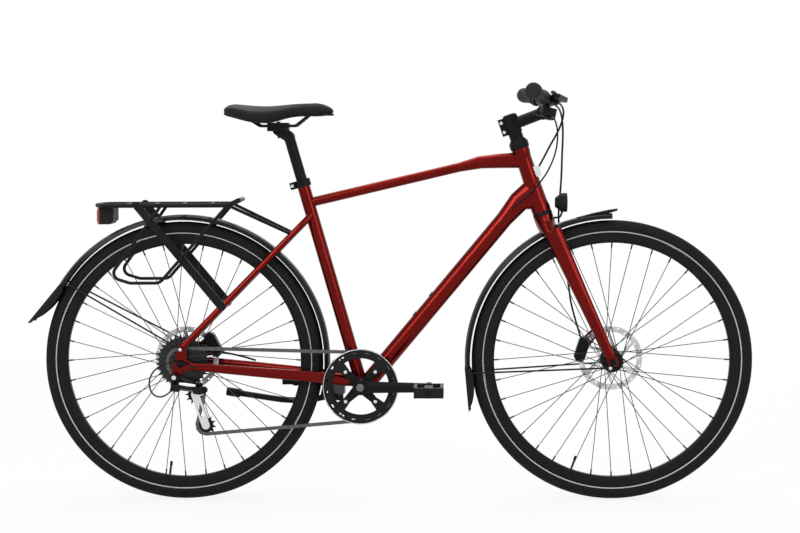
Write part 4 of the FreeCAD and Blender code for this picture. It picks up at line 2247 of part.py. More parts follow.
# Lamps and reflector
tail_top = "rack_height - rack_tube_radius - fit_gap"
tail_turn = FreeCAD.Rotation(X_AXIS, Z_AXIS, -Y_AXIS, "ZXY")
node("rear_light", plate("rear_light", [
    ("tail_rear_x", "tail_low"),
    ("tail_front_x - tail_chamfer", "tail_low"),
    ("tail_front_x", "tail_low + tail_chamfer"),
    ("tail_front_x", tail_top),
    ("tail_rear_x", tail_top),
], "tail_width", V(), tail_turn))
node("rear_light_lens", plate("rear_light_lens", [
    ("tail_rear_x - fit_gap - tail_lens/2", "tail_low"),
    ("tail_rear_x - fit_gap", "tail_low"),
    ("tail_rear_x - fit_gap", tail_top),
    ("tail_rear_x - fit_gap - tail_lens/2", tail_top),
    ("tail_rear_x - fit_gap - tail_lens", f"{tail_top} - tail_chamfer"),
    ("tail_rear_x - fit_gap - tail_lens", "tail_low + tail_chamfer"),
], "tail_width", V(), tail_turn))

lamp = V(value("lamp_x"), 0, value("lamp_height"))
lamp_body = turned("lamp_body", [
    ("0", "-lamp_back"),
    ("lamp_back_radius", "-lamp_back"),
    ("lamp_radius", "-lamp_back/4"),
    ("lamp_radius", "lamp_front"),
    ("lamp_radius - lamp_lens/2", "lamp_front"),
    ("lamp_radius - lamp_lens/2", "lamp_front - lamp_lens"),
    ("0", "lamp_front - lamp_lens"),
], lamp, X_AXIS, Z_AXIS)
wire_knee = V(value("lamp_wire_knee_x"), 0, value("lamp_wire_knee_z"))
lamp_wire = cut("lamp_wire", bent_tube("lamp_wire_bar", [
    steer(value("lamp_wire_along"), value("crown_top_radius/2")),
    wire_knee,
    lamp - Z_AXIS * value("lamp_radius*3/4"),
], "lamp_wire_radius", value("lamp_wire_bend")), crown)
node("front_light", fuse("front_light", lamp_body, lamp_wire))
node("front_light_lens", turned("front_light_lens", [
    ("0", "lamp_front - lamp_lens + fit_gap"),
    ("lamp_radius - lamp_lens/2 - fit_gap", "lamp_front - lamp_lens + fit_gap"),
    ("lamp_radius - lamp_lens/2 - fit_gap", "lamp_front"),
    ("0", "lamp_front + lamp_lens"),
], lamp, X_AXIS, Z_AXIS))
reflector_foot = steer(value("reflector_along"))
node("head_reflector", cut("head_reflector", block(
    "reflector_block", reflector_foot, facing(steer_ahead, steer_up), "reflector_height", "reflector_width",
    "reflector_reach"), head_core))


# Mudguards: a rolled channel round part of the wheel, its flap, and its stays
def guard_section(axle):
    rows = [
        (value("guard_outer_radius - guard_drop"), value("guard_half_width")),
        (value("guard_outer_radius - guard_knee_drop"), value("guard_knee_half")),
        (value("guard_outer_radius"), value("guard_crown_half")),
    ]
    wall = value("guard_wall")
    outside = rows + [(radius, -half) for radius, half in reversed(rows)]
    inside = []
    for radius, half in reversed(outside):
        inward = wall if abs(half) > value("guard_crown_half") else 0
        inside.append((radius - (wall if inward == 0 else wall / 2), half - math.copysign(inward, half)))
    inside[0] = (outside[-1][0], inside[0][1])
    inside[-1] = (outside[0][0], inside[-1][1])
    corners = [axle + V(radius, half, 0) for radius, half in outside + inside]
    return Part.Face(Part.makePolygon(corners + [corners[0]]))


def mudguard(end_name, axle, eye, eye_side, tabs):
    label = end_name + "_fender"
    start, end = value(end_name + "_guard_start"), value(end_name + "_guard_end")
    channel = guard_section(axle)
    channel.rotate(axle, -Y_AXIS, start)
    channel = channel.revolve(axle, -Y_AXIS, end - start)
    last = math.radians(end)
    hang = last - math.radians(value(end_name + "_flap_kick"))
    radius = value("guard_outer_radius - flap_thickness/2")
    flap_top = around(axle, radius, last, 0)
    flap_way = V(-math.sin(hang), 0, math.cos(hang))
    flap_foot = flap_top - flap_way * value("guard_drop")
    flap = block(label + "_flap", flap_foot, facing(flap_way, flap_top - axle), "flap_thickness",
                 "flap_width", end_name + "_flap_length")
    pieces = [feature(label + "_channel", channel), flap]
    for side in (-1, 1):
        tip = around(axle, value("guard_outer_radius - guard_drop*2/3"),
                     math.radians(value(end_name + "_stay_angle")),
                     side * value("guard_half_width - guard_wall/2"))
        root = V(eye.x, side * (eye_side + value("fit_gap + guard_eye_width/2")), eye.z)
        pieces.append(rod(label + "_stay", root, tip, "guard_stay_radius"))
        half = Y_AXIS * value("guard_eye_width/2")
        pieces.append(rod(label + "_eye", root - half, root + half, "guard_eye_radius"))
    for at, length in tabs:
        way = (at - axle).normalize()
        foot = axle + way * value("guard_outer_radius - guard_wall")
        pieces.append(rod(label + "_tab", foot, foot + way * (length + value("guard_wall")),
                          "guard_tab_bar"))
    node(label, fuse(label, *pieces))


def tab_reach(at, axle, gap_text):
    return (at - axle).Length - value(f"guard_outer_radius + {gap_text}")


rear_eye = rear_axle + V(value("rear_eye_ahead"), 0, value("rear_eye_rise"))
mudguard("rear", rear_axle, rear_eye, dropout_face, [
    (bridge_at, tab_reach(bridge_at, rear_axle, "seat_bridge_radius + fit_gap*2")),
    (chain_bridge_at, tab_reach(chain_bridge_at, rear_axle, "seat_bridge_radius + fit_gap*2")),
])
front_eye = front_axle + V(-value("front_eye_back"), 0, -value("front_eye_drop"))
crown_at = steer(value("tunnel_top"))
mudguard("front", front_axle, front_eye, value("front_hub_width/2 + fork_tip_thickness"),
         [(crown_at, tab_reach(crown_at, front_axle, "free_gap*2"))])


# Kickstand: a plate under the chainstays with the pin, and the leg folded back along the wheel
stand_pivot = V(value("stand_plate_x"), value("stand_pivot_side"), value("stand_pivot_height"))
stand_end = V(value("stand_end_x"), value("stand_end_side"), value("stand_end_z"))
folded = (stand_end - stand_pivot).normalize()
STAND_DOWN_shares = (-0.42, 0.43, -0.8)
stand_down = V(*STAND_DOWN_shares).normalize()
stand_axis = folded.cross(stand_down).normalize()
print("stand axis", stand_axis, "turn", round(math.degrees(folded.getAngle(stand_down)), 1))
plate_foot = V(value("stand_plate_x"), 0, value("stand_plate_low"))
lug_foot = V(value("stand_plate_x"), value("stand_plate_width/2 - stand_lug_width/2"),
             value("stand_lug_low"))
stand_block = cut(
    "stand_block",
    block("stand_plate", plate_foot, FreeCAD.Rotation(), "stand_plate_length", "stand_plate_width",
          "stand_plate_top - stand_plate_low"),
    left_stay_core, right_stay_core)
stand_lug = block("stand_lug", lug_foot, FreeCAD.Rotation(), "stand_lug_width", "stand_lug_width",
                  "stand_plate_low - stand_lug_low + fit_gap")
eye_half = stand_axis * value("stand_eye_length/2")
pin_inner = stand_pivot + stand_axis * value("stand_pin_inner")
stand_pin = rod("stand_pin", pin_inner, stand_pivot - eye_half, "stand_pin_radius")
node("frame", *frame_pieces, fuse("kickstand_bracket", stand_block, stand_lug, stand_pin))
stand_leg = bent_tube("stand_leg", [
    stand_pivot,
    V(value("stand_knee_x"), value("stand_knee_side"), value("stand_knee_z")),
    V(value("stand_mid_x"), value("stand_mid_side"), value("stand_mid_z")),
    stand_end,
], "stand_radius")
foot_way = (stand_end - V(value("stand_mid_x"), value("stand_mid_side"), value("stand_mid_z"))).normalize()
stand_foot = rod("stand_foot", stand_end - foot_way * value("stand_radius"),
                 stand_end + foot_way * value("stand_foot_length"), "stand_foot_radius")
stand_eye = rod("stand_eye", stand_pivot - eye_half, stand_pivot + eye_half, "stand_eye_radius")
stand_bore = rod("stand_bore", stand_pivot - eye_half * 2, stand_pivot + eye_half * 2,
                 "stand_pin_radius + running_gap")
stand_trim = rod("stand_trim", stand_pivot + eye_half, stand_pivot + eye_half * 2, "stand_eye_radius*2")
stand_leg = cut("stand_leg_trimmed", stand_leg, stand_trim)
stand_whole = fuse("stand_whole", stand_leg, stand_eye, stand_foot)
node("kickstand_leg", cut("kickstand_leg", stand_whole, stand_bore))
# Hoses and cable, each a row of short runs; places are X, Y and Z in millimetres
FRONT_HOSE_ROUTE = (
    (426, 92, 980), (434, 52, 955), (436, 30, 912), (433, 24, 862), (432, 28, 812), (430, 42, 768),
    (426, 57, 722), (427, 63, 674), (434, 64, 624), (444, 63.5, 574), (453, 63, 524), (458, 60, 476),
)
REAR_HOSE_ROUTE = (
    (426, -92, 980), (434, -52, 958), (424, -16, 920), (402, 14, 880), (382, 34, 838), (356, 41, 796),
    (328, 33, 757), (303, 23.4, 726),
)
REAR_HOSE_END_ROUTE = ((-338, 55.3, 341), (-374, 56, 353.5))
SHIFT_CABLE_ROUTE = (
    (411, -82, 944), (419, -54, 910), (415, -40, 866), (398, -37, 822), (370, -36, 782), (337, -30, 750),
    (305, -22.6, 724),
)
FRONT_PORT_shares = (-0.6, 0, 0.8)
REAR_PORT_shares = (0.96, 0, -0.28)


def cable(name, points, radius):
    item = bent_tube(name, points, radius)
    path, radii = rounded_path(points)
    doc.recompute([item])
    whole = path.Length * math.pi * value(radius) ** 2
    print(name, "length", round(path.Length), "least bend", round(min(radii), 1),
          "volume share", round(item.Shape.Volume / whole, 3))
    return item


def outlet(side):
    # just clear of the inner end of a brake lever's cylinder
    gap = value("free_gap*5/2")
    return side.at(value("pivot_along + master_length") + gap, value("master_ahead - master_radius/6"))


def caliper_port(end, axle, side, way):
    lobe = caliper_point(end, axle, -value("caliper_half_angle"))
    return lobe + V(*way).normalize() * value("caliper_end_radius + free_gap*2") + Y_AXIS * value(side)


front_port = caliper_port("front", front_axle, "front_port_side", FRONT_PORT_shares)
front_points = [outlet(sides["left"])] + [V(*place_at) for place_at in FRONT_HOSE_ROUTE]
node("front_brake_hose", cable("front_brake_hose", front_points + [front_port], "hose_radius"))
rear_port = caliper_port("rear", rear_axle, "rear_port_side", REAR_PORT_shares)
rear_points = [outlet(sides["right"])] + [V(*place_at) for place_at in REAR_HOSE_ROUTE]
rear_end_points = [V(*place_at) for place_at in REAR_HOSE_END_ROUTE] + [rear_port]
node("rear_brake_hose", cable("rear_hose_front", rear_points, "hose_radius"),
     cable("rear_hose_end", rear_end_points, "hose_radius"))
pod_end = right.at(value("shifter_along + pod_radius*7/4 + free_gap*2"), value("pod_ahead"),
                   -value("pod_drop"))
shift_points = [pod_end] + [V(*place_at) for place_at in SHIFT_CABLE_ROUTE]
node("shift_cable", cable("shift_front", shift_points, "cable_radius"),
     cable("shift_loop", [V(*place_at) for place_at in SHIFT_LOOP_ROUTE], "cable_radius"))
# Check every object, then write one file for each node
doc.recompute()
for item in doc.Objects:
    if "Invalid" in item.State or "Error" in item.State:
        raise RuntimeError(f"{item.Label} failed: {item.State}")
for label, item in NODES.items():
    if item.Shape.isNull() or not item.Shape.isValid():
        raise RuntimeError(f"{label} has no valid shape")

os.makedirs("parts", exist_ok=True)
for label, item in NODES.items():
    item.Shape.exportStep(f"parts/{label}.step")
    print(label, len(item.Shape.Solids), "solids", round(item.Shape.Volume), "mm3")
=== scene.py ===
import math

import bmesh
import bpy
from mathutils import Matrix, Vector


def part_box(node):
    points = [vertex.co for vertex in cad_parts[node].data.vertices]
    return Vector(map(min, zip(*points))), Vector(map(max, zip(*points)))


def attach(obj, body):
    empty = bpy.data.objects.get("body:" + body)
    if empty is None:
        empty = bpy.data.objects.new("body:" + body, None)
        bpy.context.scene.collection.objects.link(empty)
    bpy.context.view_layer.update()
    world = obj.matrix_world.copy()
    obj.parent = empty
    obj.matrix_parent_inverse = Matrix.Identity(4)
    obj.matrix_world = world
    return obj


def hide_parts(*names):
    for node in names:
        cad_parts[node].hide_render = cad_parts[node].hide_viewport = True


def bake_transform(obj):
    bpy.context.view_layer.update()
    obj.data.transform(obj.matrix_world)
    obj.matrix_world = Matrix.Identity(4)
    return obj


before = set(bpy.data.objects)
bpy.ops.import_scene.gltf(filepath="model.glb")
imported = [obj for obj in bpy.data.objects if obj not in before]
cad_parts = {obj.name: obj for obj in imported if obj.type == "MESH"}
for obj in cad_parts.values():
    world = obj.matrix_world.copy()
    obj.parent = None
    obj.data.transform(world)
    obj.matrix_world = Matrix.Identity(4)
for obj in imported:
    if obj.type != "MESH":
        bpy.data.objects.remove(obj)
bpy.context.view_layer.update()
scene = bpy.context.scene
scene.view_settings.view_transform = "Standard"
print("frame loaded,", len(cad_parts), "nodes")

# camera, solved from the wheels, axles and tubes of the photograph
cameraSet = {
    "place": (0.1664, -4.7613, 0.920),
    "yaw": 1.645,
    "pitch": 4.0585,
    "roll": -0.266,
    "lens": 86.39,
    "sensor": 36.0,
    "farClip": 60,
}


def makeCamera(values):
    yaw, pitch, roll = (math.radians(values[key]) for key in ("yaw", "pitch", "roll"))
    ahead = Vector((-math.sin(yaw) * math.cos(pitch), math.cos(yaw) * math.cos(pitch),
                    -math.sin(pitch)))
    right = Vector((math.cos(yaw), math.sin(yaw), 0))
    up = right.cross(ahead)
    turnedRight = right * math.cos(roll) + up * math.sin(roll)
    turnedUp = up * math.cos(roll) - right * math.sin(roll)
    data = bpy.data.cameras.new("photoCamera")
    data.lens = values["lens"]
    data.sensor_width = values["sensor"]
    data.sensor_fit = "HORIZONTAL"
    data.clip_end = values["farClip"]
    view = bpy.data.objects.new("photoCamera", data)
    scene.collection.objects.link(view)
    turn = Matrix((turnedRight, turnedUp, -ahead)).transposed().to_4x4()
    view.matrix_world = Matrix.Translation(values["place"]) @ turn
    scene.camera = view


makeCamera(cameraSet)
print("camera set")

# studio: soft boxes, pale world and floor
studio = {
    "white": (1, 1, 1, 1),
    "floorColour": (0.93, 0.93, 0.93, 1),
    "floorRough": 0.9,
    "floorGlow": 0.84,
    "glowReach": (0.9, 4.5),
    "floorX": (-40, 40),
    "floorY": (-20, 60),
    "floorDrop": 0.0005,
    "worldLight": 0.3,
    "aim": (0, 0, 0.5),
    "boxes": (  # name, place, width and watts
        ("keyBox", (-2.6, -4.2, 3.6), 2.6, 115),
        ("fillBox", (3.4, -3.6, 2.4), 2.4, 55),
        ("topBox", (0.0, 0.6, 4.2), 3.2, 95),
        ("backBox", (0.6, 4.2, 2.6), 2.6, 45),
    ),
}


def mathNode(tree, operation, first, second=None):
    node = tree.nodes.new("ShaderNodeMath")
    node.operation = operation
    for index, value in enumerate((first, second)):
        if value is None:
            continue
        if isinstance(value, (int, float)):
            node.inputs[index].default_value = value
        else:
            tree.links.new(value, node.inputs[index])
    return node.outputs[0]


def seenFlag(tree):
    # camera, glass and mirror rays all meet the white studio
    path = tree.nodes.new("ShaderNodeLightPath")
    straight = mathNode(tree, "MAXIMUM", path.outputs["Is Camera Ray"],
                        path.outputs["Is Transmission Ray"])
    return mathNode(tree, "MAXIMUM", straight, path.outputs["Is Glossy Ray"])


def floorGlow(tree, values):
    # less glow round the object, so that its shadow shows, and white far off
    place = tree.nodes.new("ShaderNodeTexCoord")
    reach = tree.nodes.new("ShaderNodeVectorMath")
    reach.operation = "LENGTH"
    tree.links.new(place.outputs["Object"], reach.inputs[0])
    fade = tree.nodes.new("ShaderNodeMapRange")
    fade.interpolation_type = "SMOOTHSTEP"
    near, far = values["glowReach"]
    fade.inputs["From Min"].default_value = near
    fade.inputs["From Max"].default_value = far
    fade.inputs["To Min"].default_value = values["floorGlow"]
    tree.links.new(reach.outputs["Value"], fade.inputs["Value"])
    return fade.outputs["Result"]


def mixShaders(tree, factor, first, second, target):
    mix = tree.nodes.new("ShaderNodeMixShader")
    tree.links.new(factor, mix.inputs["Fac"])
    tree.links.new(first.outputs[0], mix.inputs[1])
    tree.links.new(second.outputs[0], mix.inputs[2])
    tree.links.new(mix.outputs[0], tree.nodes[target].inputs["Surface"])


def makeLamps(values):
    for name, place, size, power in values["boxes"]:
        light = bpy.data.lights.new(name, "AREA")
        light.shape = "SQUARE"
        light.size = size
        light.energy = power
        lamp = bpy.data.objects.new(name, light)
        lamp.location = place
        way = Vector(values["aim"]) - Vector(place)
        lamp.rotation_euler = way.to_track_quat("-Z", "Y").to_euler()
        scene.collection.objects.link(lamp)


def makeWorld(values):
    # a dim room lights the object, and a white one is seen
    world = bpy.data.worlds.new("paleRoom")
    scene.world = world
    world.use_nodes = True
    tree = world.node_tree
    dim = tree.nodes["Background"]
    bright = tree.nodes.new("ShaderNodeBackground")
    for node, strength in ((dim, values["worldLight"]), (bright, 1.0)):
        node.inputs["Color"].default_value = values["white"]
        node.inputs["Strength"].default_value = strength
    mixShaders(tree, seenFlag(tree), dim, bright, "World Output")


def makeFloor(values):
    left, right = values["floorX"]
    near, far = values["floorY"]
    mesh = bpy.data.meshes.new("studioFloor")
    corners = [(left, near, 0), (right, near, 0), (right, far, 0), (left, far, 0)]
    mesh.from_pydata(corners, [], [(0, 1, 2, 3)])
    floor = bpy.data.objects.new("studioFloor", mesh)
    floor.location.z = -values["floorDrop"]
    scene.collection.objects.link(floor)
    paper = bpy.data.materials.new("floorPaper")
    paper.use_nodes = True
    tree = paper.node_tree
    matte = tree.nodes["Principled BSDF"]
    matte.inputs["Base Color"].default_value = values["floorColour"]
    matte.inputs["Roughness"].default_value = values["floorRough"]
    glow = tree.nodes.new("ShaderNodeEmission")
    glow.inputs["Color"].default_value = values["white"]
    glow.inputs["Strength"].default_value = 1.0
    share = mathNode(tree, "MULTIPLY", seenFlag(tree), floorGlow(tree, values))
    mixShaders(tree, share, matte, glow, "Material Output")
    mesh.materials.append(paper)


makeLamps(studio)
makeWorld(studio)
makeFloor(studio)
print("studio lit")


# shared surface effects, each a node group that puts out plain values
def newGroup(name, inputs, outputs):
    group = bpy.data.node_groups.new(name, "ShaderNodeTree")
    for label, kind, start in inputs:
        socket = group.interface.new_socket(label, in_out="INPUT", socket_type=kind)
        socket.default_value = start
    for label in outputs:
        group.interface.new_socket(label, in_out="OUTPUT", socket_type="NodeSocketFloat")
    source = group.nodes.new("NodeGroupInput")
    target = group.nodes.new("NodeGroupOutput")
    return group, source, target


# fine mottling for paint, plastic and metal: a broad cloud and a fine speck
grainDetail = {"Broad Scale": 4, "Fine Scale": 2}


def buildSkinGrain(detail):
    group, source, target = newGroup(
        "skinGrain",
        [("Fine Scale", "NodeSocketFloat", 900.0), ("Broad Scale", "NodeSocketFloat", 9.0),
         ("Fine Share", "NodeSocketFloat", 0.5)],
        ["Mottle", "Speck"])
    place = group.nodes.new("ShaderNodeTexCoord")
    clouds = []
    for key in ("Broad Scale", "Fine Scale"):
        noise = group.nodes.new("ShaderNodeTexNoise")
        noise.inputs["Detail"].default_value = detail[key]
        group.links.new(place.outputs["Object"], noise.inputs["Vector"])
        group.links.new(source.outputs[key], noise.inputs["Scale"])
        clouds.append(noise.outputs["Fac"])
    broad, fine = clouds
    finePart = mathNode(group, "MULTIPLY", fine, source.outputs["Fine Share"])
    broadShare = mathNode(group, "SUBTRACT", 1.0, source.outputs["Fine Share"])
    broadPart = mathNode(group, "MULTIPLY", broad, broadShare)
    group.links.new(mathNode(group, "ADD", finePart, broadPart), target.inputs["Mottle"])
    group.links.new(fine, target.inputs["Speck"])
    return group


def buildPaintFlake():
    # metallic flakes under clear coat, one shade for each cell
    group, source, target = newGroup(
        "paintFlake", [("Scale", "NodeSocketFloat", 1400.0)], ["Flake"])
    place = group.nodes.new("ShaderNodeTexCoord")
    cells = group.nodes.new("ShaderNodeTexVoronoi")
    cells.feature = "F1"
    group.links.new(place.outputs["Object"], cells.inputs["Vector"])
    group.links.new(source.outputs["Scale"], cells.inputs["Scale"])
    split = group.nodes.new("ShaderNodeSeparateColor")
    group.links.new(cells.outputs["Color"], split.inputs["Color"])
    group.links.new(split.outputs["Red"], target.inputs["Flake"])
    return group


# rings and rays round an axle, for brushed discs, tread and sprockets
brushMarks = {"sweep": 2.0, "detail": 3}


def buildTurnedMarks(values):
    group, source, target = newGroup(
        "turnedMarks",
        [("Centre", "NodeSocketVector", (0, 0, 0)), ("Rings", "NodeSocketFloat", 1500.0),
         ("Rays", "NodeSocketFloat", 120.0)],
        ["Radius", "Ring", "Ray"])
    place = group.nodes.new("ShaderNodeTexCoord")
    shift = group.nodes.new("ShaderNodeVectorMath")
    shift.operation = "SUBTRACT"
    group.links.new(place.outputs["Object"], shift.inputs[0])
    group.links.new(source.outputs["Centre"], shift.inputs[1])
    split = group.nodes.new("ShaderNodeSeparateXYZ")
    group.links.new(shift.outputs[0], split.inputs[0])
    along, rise = split.outputs["X"], split.outputs["Z"]
    squares = [mathNode(group, "MULTIPLY", side, side) for side in (along, rise)]
    radius = mathNode(group, "SQRT", mathNode(group, "ADD", *squares))
    angle = mathNode(group, "ARCTAN2", rise, along)
    group.links.new(radius, target.inputs["Radius"])
    unrolled = group.nodes.new("ShaderNodeCombineXYZ")
    ringPlace = mathNode(group, "MULTIPLY", radius, source.outputs["Rings"])
    group.links.new(ringPlace, unrolled.inputs["X"])
    group.links.new(mathNode(group, "MULTIPLY", angle, values["sweep"]), unrolled.inputs["Y"])
    brushed = group.nodes.new("ShaderNodeTexNoise")
    brushed.inputs["Scale"].default_value = 1.0
    brushed.inputs["Detail"].default_value = values["detail"]
    group.links.new(unrolled.outputs[0], brushed.inputs["Vector"])
    group.links.new(brushed.outputs["Fac"], target.inputs["Ring"])
    wave = mathNode(group, "SINE", mathNode(group, "MULTIPLY", angle, source.outputs["Rays"]))
    group.links.new(wave, target.inputs["Ray"])
    return group


skinGrain = buildSkinGrain(grainDetail)
paintFlake = buildPaintFlake()
turnedMarks = buildTurnedMarks(brushMarks)
print("surface effects built")


def placeGroup(tree, group, values):
    node = tree.nodes.new("ShaderNodeGroup")
    node.node_tree = group
    for key, value in values.items():
        node.inputs[key].default_value = value
    return node


def newFinish(name):
    material = bpy.data.materials.new(name)
    material.use_nodes = True
    tree = material.node_tree
    return material, tree, tree.nodes["Principled BSDF"]


def blendColours(tree, factor, first, second):
    node = tree.nodes.new("ShaderNodeMix")
    node.data_type = "RGBA"
    tree.links.new(factor, node.inputs["Factor"])
    node.inputs["A"].default_value = (*first, 1)
    node.inputs["B"].default_value = (*second, 1)
    return node.outputs["Result"]


def spread(tree, factor, low, high, fromLow=0.3, fromHigh=0.7):
    # noise keeps near its middle, so that is what the band is stretched over
    node = tree.nodes.new("ShaderNodeMapRange")
    tree.links.new(factor, node.inputs["Value"])
    node.inputs["From Min"].default_value = fromLow
    node.inputs["From Max"].default_value = fromHigh
    node.inputs["To Min"].default_value = low
    node.inputs["To Max"].default_value = high
    return node.outputs["Result"]


def addBump(tree, bsdf, height, strength, distance):
    bump = tree.nodes.new("ShaderNodeBump")
    bump.inputs["Strength"].default_value = strength
    bump.inputs["Distance"].default_value = distance
    tree.links.new(height, bump.inputs["Height"])
    tree.links.new(bump.outputs[0], bsdf.inputs["Normal"])


# what a skin has where its own line below doesn't say
plainSkin = {"fine": 900.0, "broad": 9.0, "share": 0.5, "metal": 0.0, "shine": 0.09, "coat": 0.0,
             "coatRough": 0.08, "bump": 0.1, "depth": 0.0002}
finishes = {
    "satinBlack": {"dark": (0.004, 0.004, 0.0045), "light": (0.01, 0.01, 0.011),
                   "rough": (0.34, 0.46), "bump": 0.06},
    "glossBlack": {"dark": (0.005, 0.005, 0.0055), "light": (0.01, 0.01, 0.0105),
                   "rough": (0.26, 0.36), "coat": 0.1, "bump": 0.03},
    "mouldedBlack": {"dark": (0.008, 0.008, 0.0085), "light": (0.017, 0.017, 0.018),
                     "rough": (0.45, 0.6), "fine": 1300.0, "bump": 0.16},
    "rackBlack": {"dark": (0.006, 0.006, 0.0065), "light": (0.014, 0.014, 0.015),
                  "rough": (0.36, 0.5), "fine": 1600.0, "bump": 0.12},
    "satinAlloy": {"dark": (0.55, 0.56, 0.58), "light": (0.76, 0.77, 0.79),
                   "rough": (0.22, 0.36), "metal": 1.0, "bump": 0.05},
    "darkSteel": {"dark": (0.1, 0.1, 0.105), "light": (0.22, 0.22, 0.23),
                  "rough": (0.25, 0.4), "metal": 1.0, "bump": 0.05},
    # the chain's wide dark-to-light mottle is painted shade and painted highlight along its links,
    # over the steel's own grain
    "chainSteel": {"dark": (0.012, 0.012, 0.011), "light": (0.2, 0.195, 0.19),
                   "rough": (0.28, 0.45), "metal": 1.0, "fine": 330.0, "share": 0.8, "bump": 0.08},
    "spokeSteel": {"dark": (0.02, 0.02, 0.021), "light": (0.06, 0.06, 0.062),
                   "rough": (0.25, 0.35), "metal": 0.7, "bump": 0.02},
    "hoseBlack": {"dark": (0.006, 0.006, 0.0065), "light": (0.013, 0.013, 0.014),
                  "rough": (0.32, 0.42), "bump": 0.05},
    "saddleSkin": {"dark": (0.007, 0.007, 0.0075), "light": (0.017, 0.017, 0.018),
                   "rough": (0.48, 0.62), "fine": 1100.0, "bump": 0.3, "depth": 0.0004},
    "gripRubber": {"dark": (0.016, 0.016, 0.017), "light": (0.034, 0.034, 0.036),
                   "rough": (0.6, 0.75), "fine": 800.0, "bump": 0.3, "depth": 0.0004},
    "reflectorWhite": {"dark": (0.7, 0.7, 0.69), "light": (0.9, 0.9, 0.88),
                       "rough": (0.12, 0.2), "coat": 0.7, "bump": 0.2},
    "stripeGrey": {"dark": (0.42, 0.43, 0.44), "light": (0.6, 0.61, 0.62),
                   "rough": (0.3, 0.4), "bump": 0.1},
}


def skinFinish(name, values):
    # one even finish: two shades, a band of roughness and a fine bump
    material, tree, bsdf = newFinish(name)
    grain = placeGroup(tree, skinGrain, {"Fine Scale": values["fine"],
                                         "Broad Scale": values["broad"],
                                         "Fine Share": values["share"]})
    colour = blendColours(tree, grain.outputs["Mottle"], values["dark"], values["light"])
    tree.links.new(colour, bsdf.inputs["Base Color"])
    rough = spread(tree, grain.outputs["Mottle"], *values["rough"])
    tree.links.new(rough, bsdf.inputs["Roughness"])
    bsdf.inputs["Metallic"].default_value = values["metal"]
    bsdf.inputs["Specular IOR Level"].default_value = values["shine"]
    bsdf.inputs["Coat Weight"].default_value = values["coat"]
    bsdf.inputs["Coat Roughness"].default_value = values["coatRough"]
    addBump(tree, bsdf, grain.outputs["Speck"], values["bump"], values["depth"])
    return material


made = {name: skinFinish(name, {**plainSkin, **values}) for name, values in finishes.items()}
print("plain finishes made:", len(made))

# candy red over metal flake, with the stand's bracket left black
candyRed = {
    "deep": (0.07, 0.002, 0.0015),
    "bright": (0.2, 0.007, 0.004),
    "flake": {"Scale": 1500.0},
    "flakeGain": 1.7,
    "grain": {"Fine Scale": 420.0, "Broad Scale": 5.0, "Fine Share": 0.3},
    "metal": 1.0,
    "rough": (0.16, 0.26),
    "coat": 0.12,
    "coatRough": 0.04,
    "bump": (0.03, 0.0003),
    "bracketBlack": (0.01, 0.01, 0.011, 1),
    "bracketX": (-0.1465, -0.1075),
    "bracketTop": 0.2895,
}


def bracketMask(tree, values):
    # one below the chainstays at the kickstand's plate, nought elsewhere
    place = tree.nodes.new("ShaderNodeTexCoord")
    split = tree.nodes.new("ShaderNodeSeparateXYZ")
    tree.links.new(place.outputs["Object"], split.inputs[0])
    back, front = values["bracketX"]
    pastBack = mathNode(tree, "GREATER_THAN", split.outputs["X"], back)
    beforeFront = mathNode(tree, "LESS_THAN", split.outputs["X"], front)
    along = mathNode(tree, "MULTIPLY", pastBack, beforeFront)
    below = mathNode(tree, "LESS_THAN", split.outputs["Z"], values["bracketTop"])
    return mathNode(tree, "MULTIPLY", along, below)


def paintFinish(name, values):
    material, tree, bsdf = newFinish(name)
    flake = placeGroup(tree, paintFlake, values["flake"]).outputs["Flake"]
    mottle = placeGroup(tree, skinGrain, values["grain"]).outputs["Mottle"]
    glint = mathNode(tree, "MULTIPLY", mathNode(tree, "MULTIPLY", flake, mottle),
                     values["flakeGain"])
    colour = blendColours(tree, glint, values["deep"], values["bright"])
    bare = bracketMask(tree, values)
    dressed = tree.nodes.new("ShaderNodeMix")
    dressed.data_type = "RGBA"
    tree.links.new(bare, dressed.inputs["Factor"])
    tree.links.new(colour, dressed.inputs["A"])
    dressed.inputs["B"].default_value = values["bracketBlack"]
    tree.links.new(dressed.outputs["Result"], bsdf.inputs["Base Color"])
    tree.links.new(spread(tree, flake, *values["rough"], 0, 1), bsdf.inputs["Roughness"])
    tree.links.new(spread(tree, bare, values["metal"], 0.0, 0, 1), bsdf.inputs["Metallic"])
    bsdf.inputs["Coat Weight"].default_value = values["coat"]
    bsdf.inputs["Coat Roughness"].default_value = values["coatRough"]
    addBump(tree, bsdf, mottle, *values["bump"])
    return material


made["candyRed"] = paintFinish("candyRed", candyRed)

# moulded lenses: prism cells under a glossy face
lensFace = {"scale": 260.0, "rough": (0.05, 0.16), "coat": 0.8, "bump": (0.25, 0.0006)}
lensFinishes = {
    "redLens": {"dark": (0.16, 0.004, 0.004), "light": (0.5, 0.02, 0.015), "clear": 0.0},
    "clearLens": {"dark": (0.55, 0.57, 0.6), "light": (0.9, 0.92, 0.95), "clear": 0.35},
}


def lensFinish(name, values):
    material, tree, bsdf = newFinish(name)
    place = tree.nodes.new("ShaderNodeTexCoord")
    cells = tree.nodes.new("ShaderNodeTexVoronoi")
    cells.inputs["Scale"].default_value = values["scale"]
    tree.links.new(place.outputs["Object"], cells.inputs["Vector"])
    prism = cells.outputs["Distance"]
    colour = blendColours(tree, prism, values["light"], values["dark"])
    tree.links.new(colour, bsdf.inputs["Base Color"])
    tree.links.new(spread(tree, prism, *values["rough"], 0, 1), bsdf.inputs["Roughness"])
    bsdf.inputs["Coat Weight"].default_value = values["coat"]
    bsdf.inputs["Transmission Weight"].default_value = values["clear"]
    addBump(tree, bsdf, prism, *values["bump"])
    return material


for name, values in lensFinishes.items():
    made[name] = lensFinish(name, {**lensFace, **values})

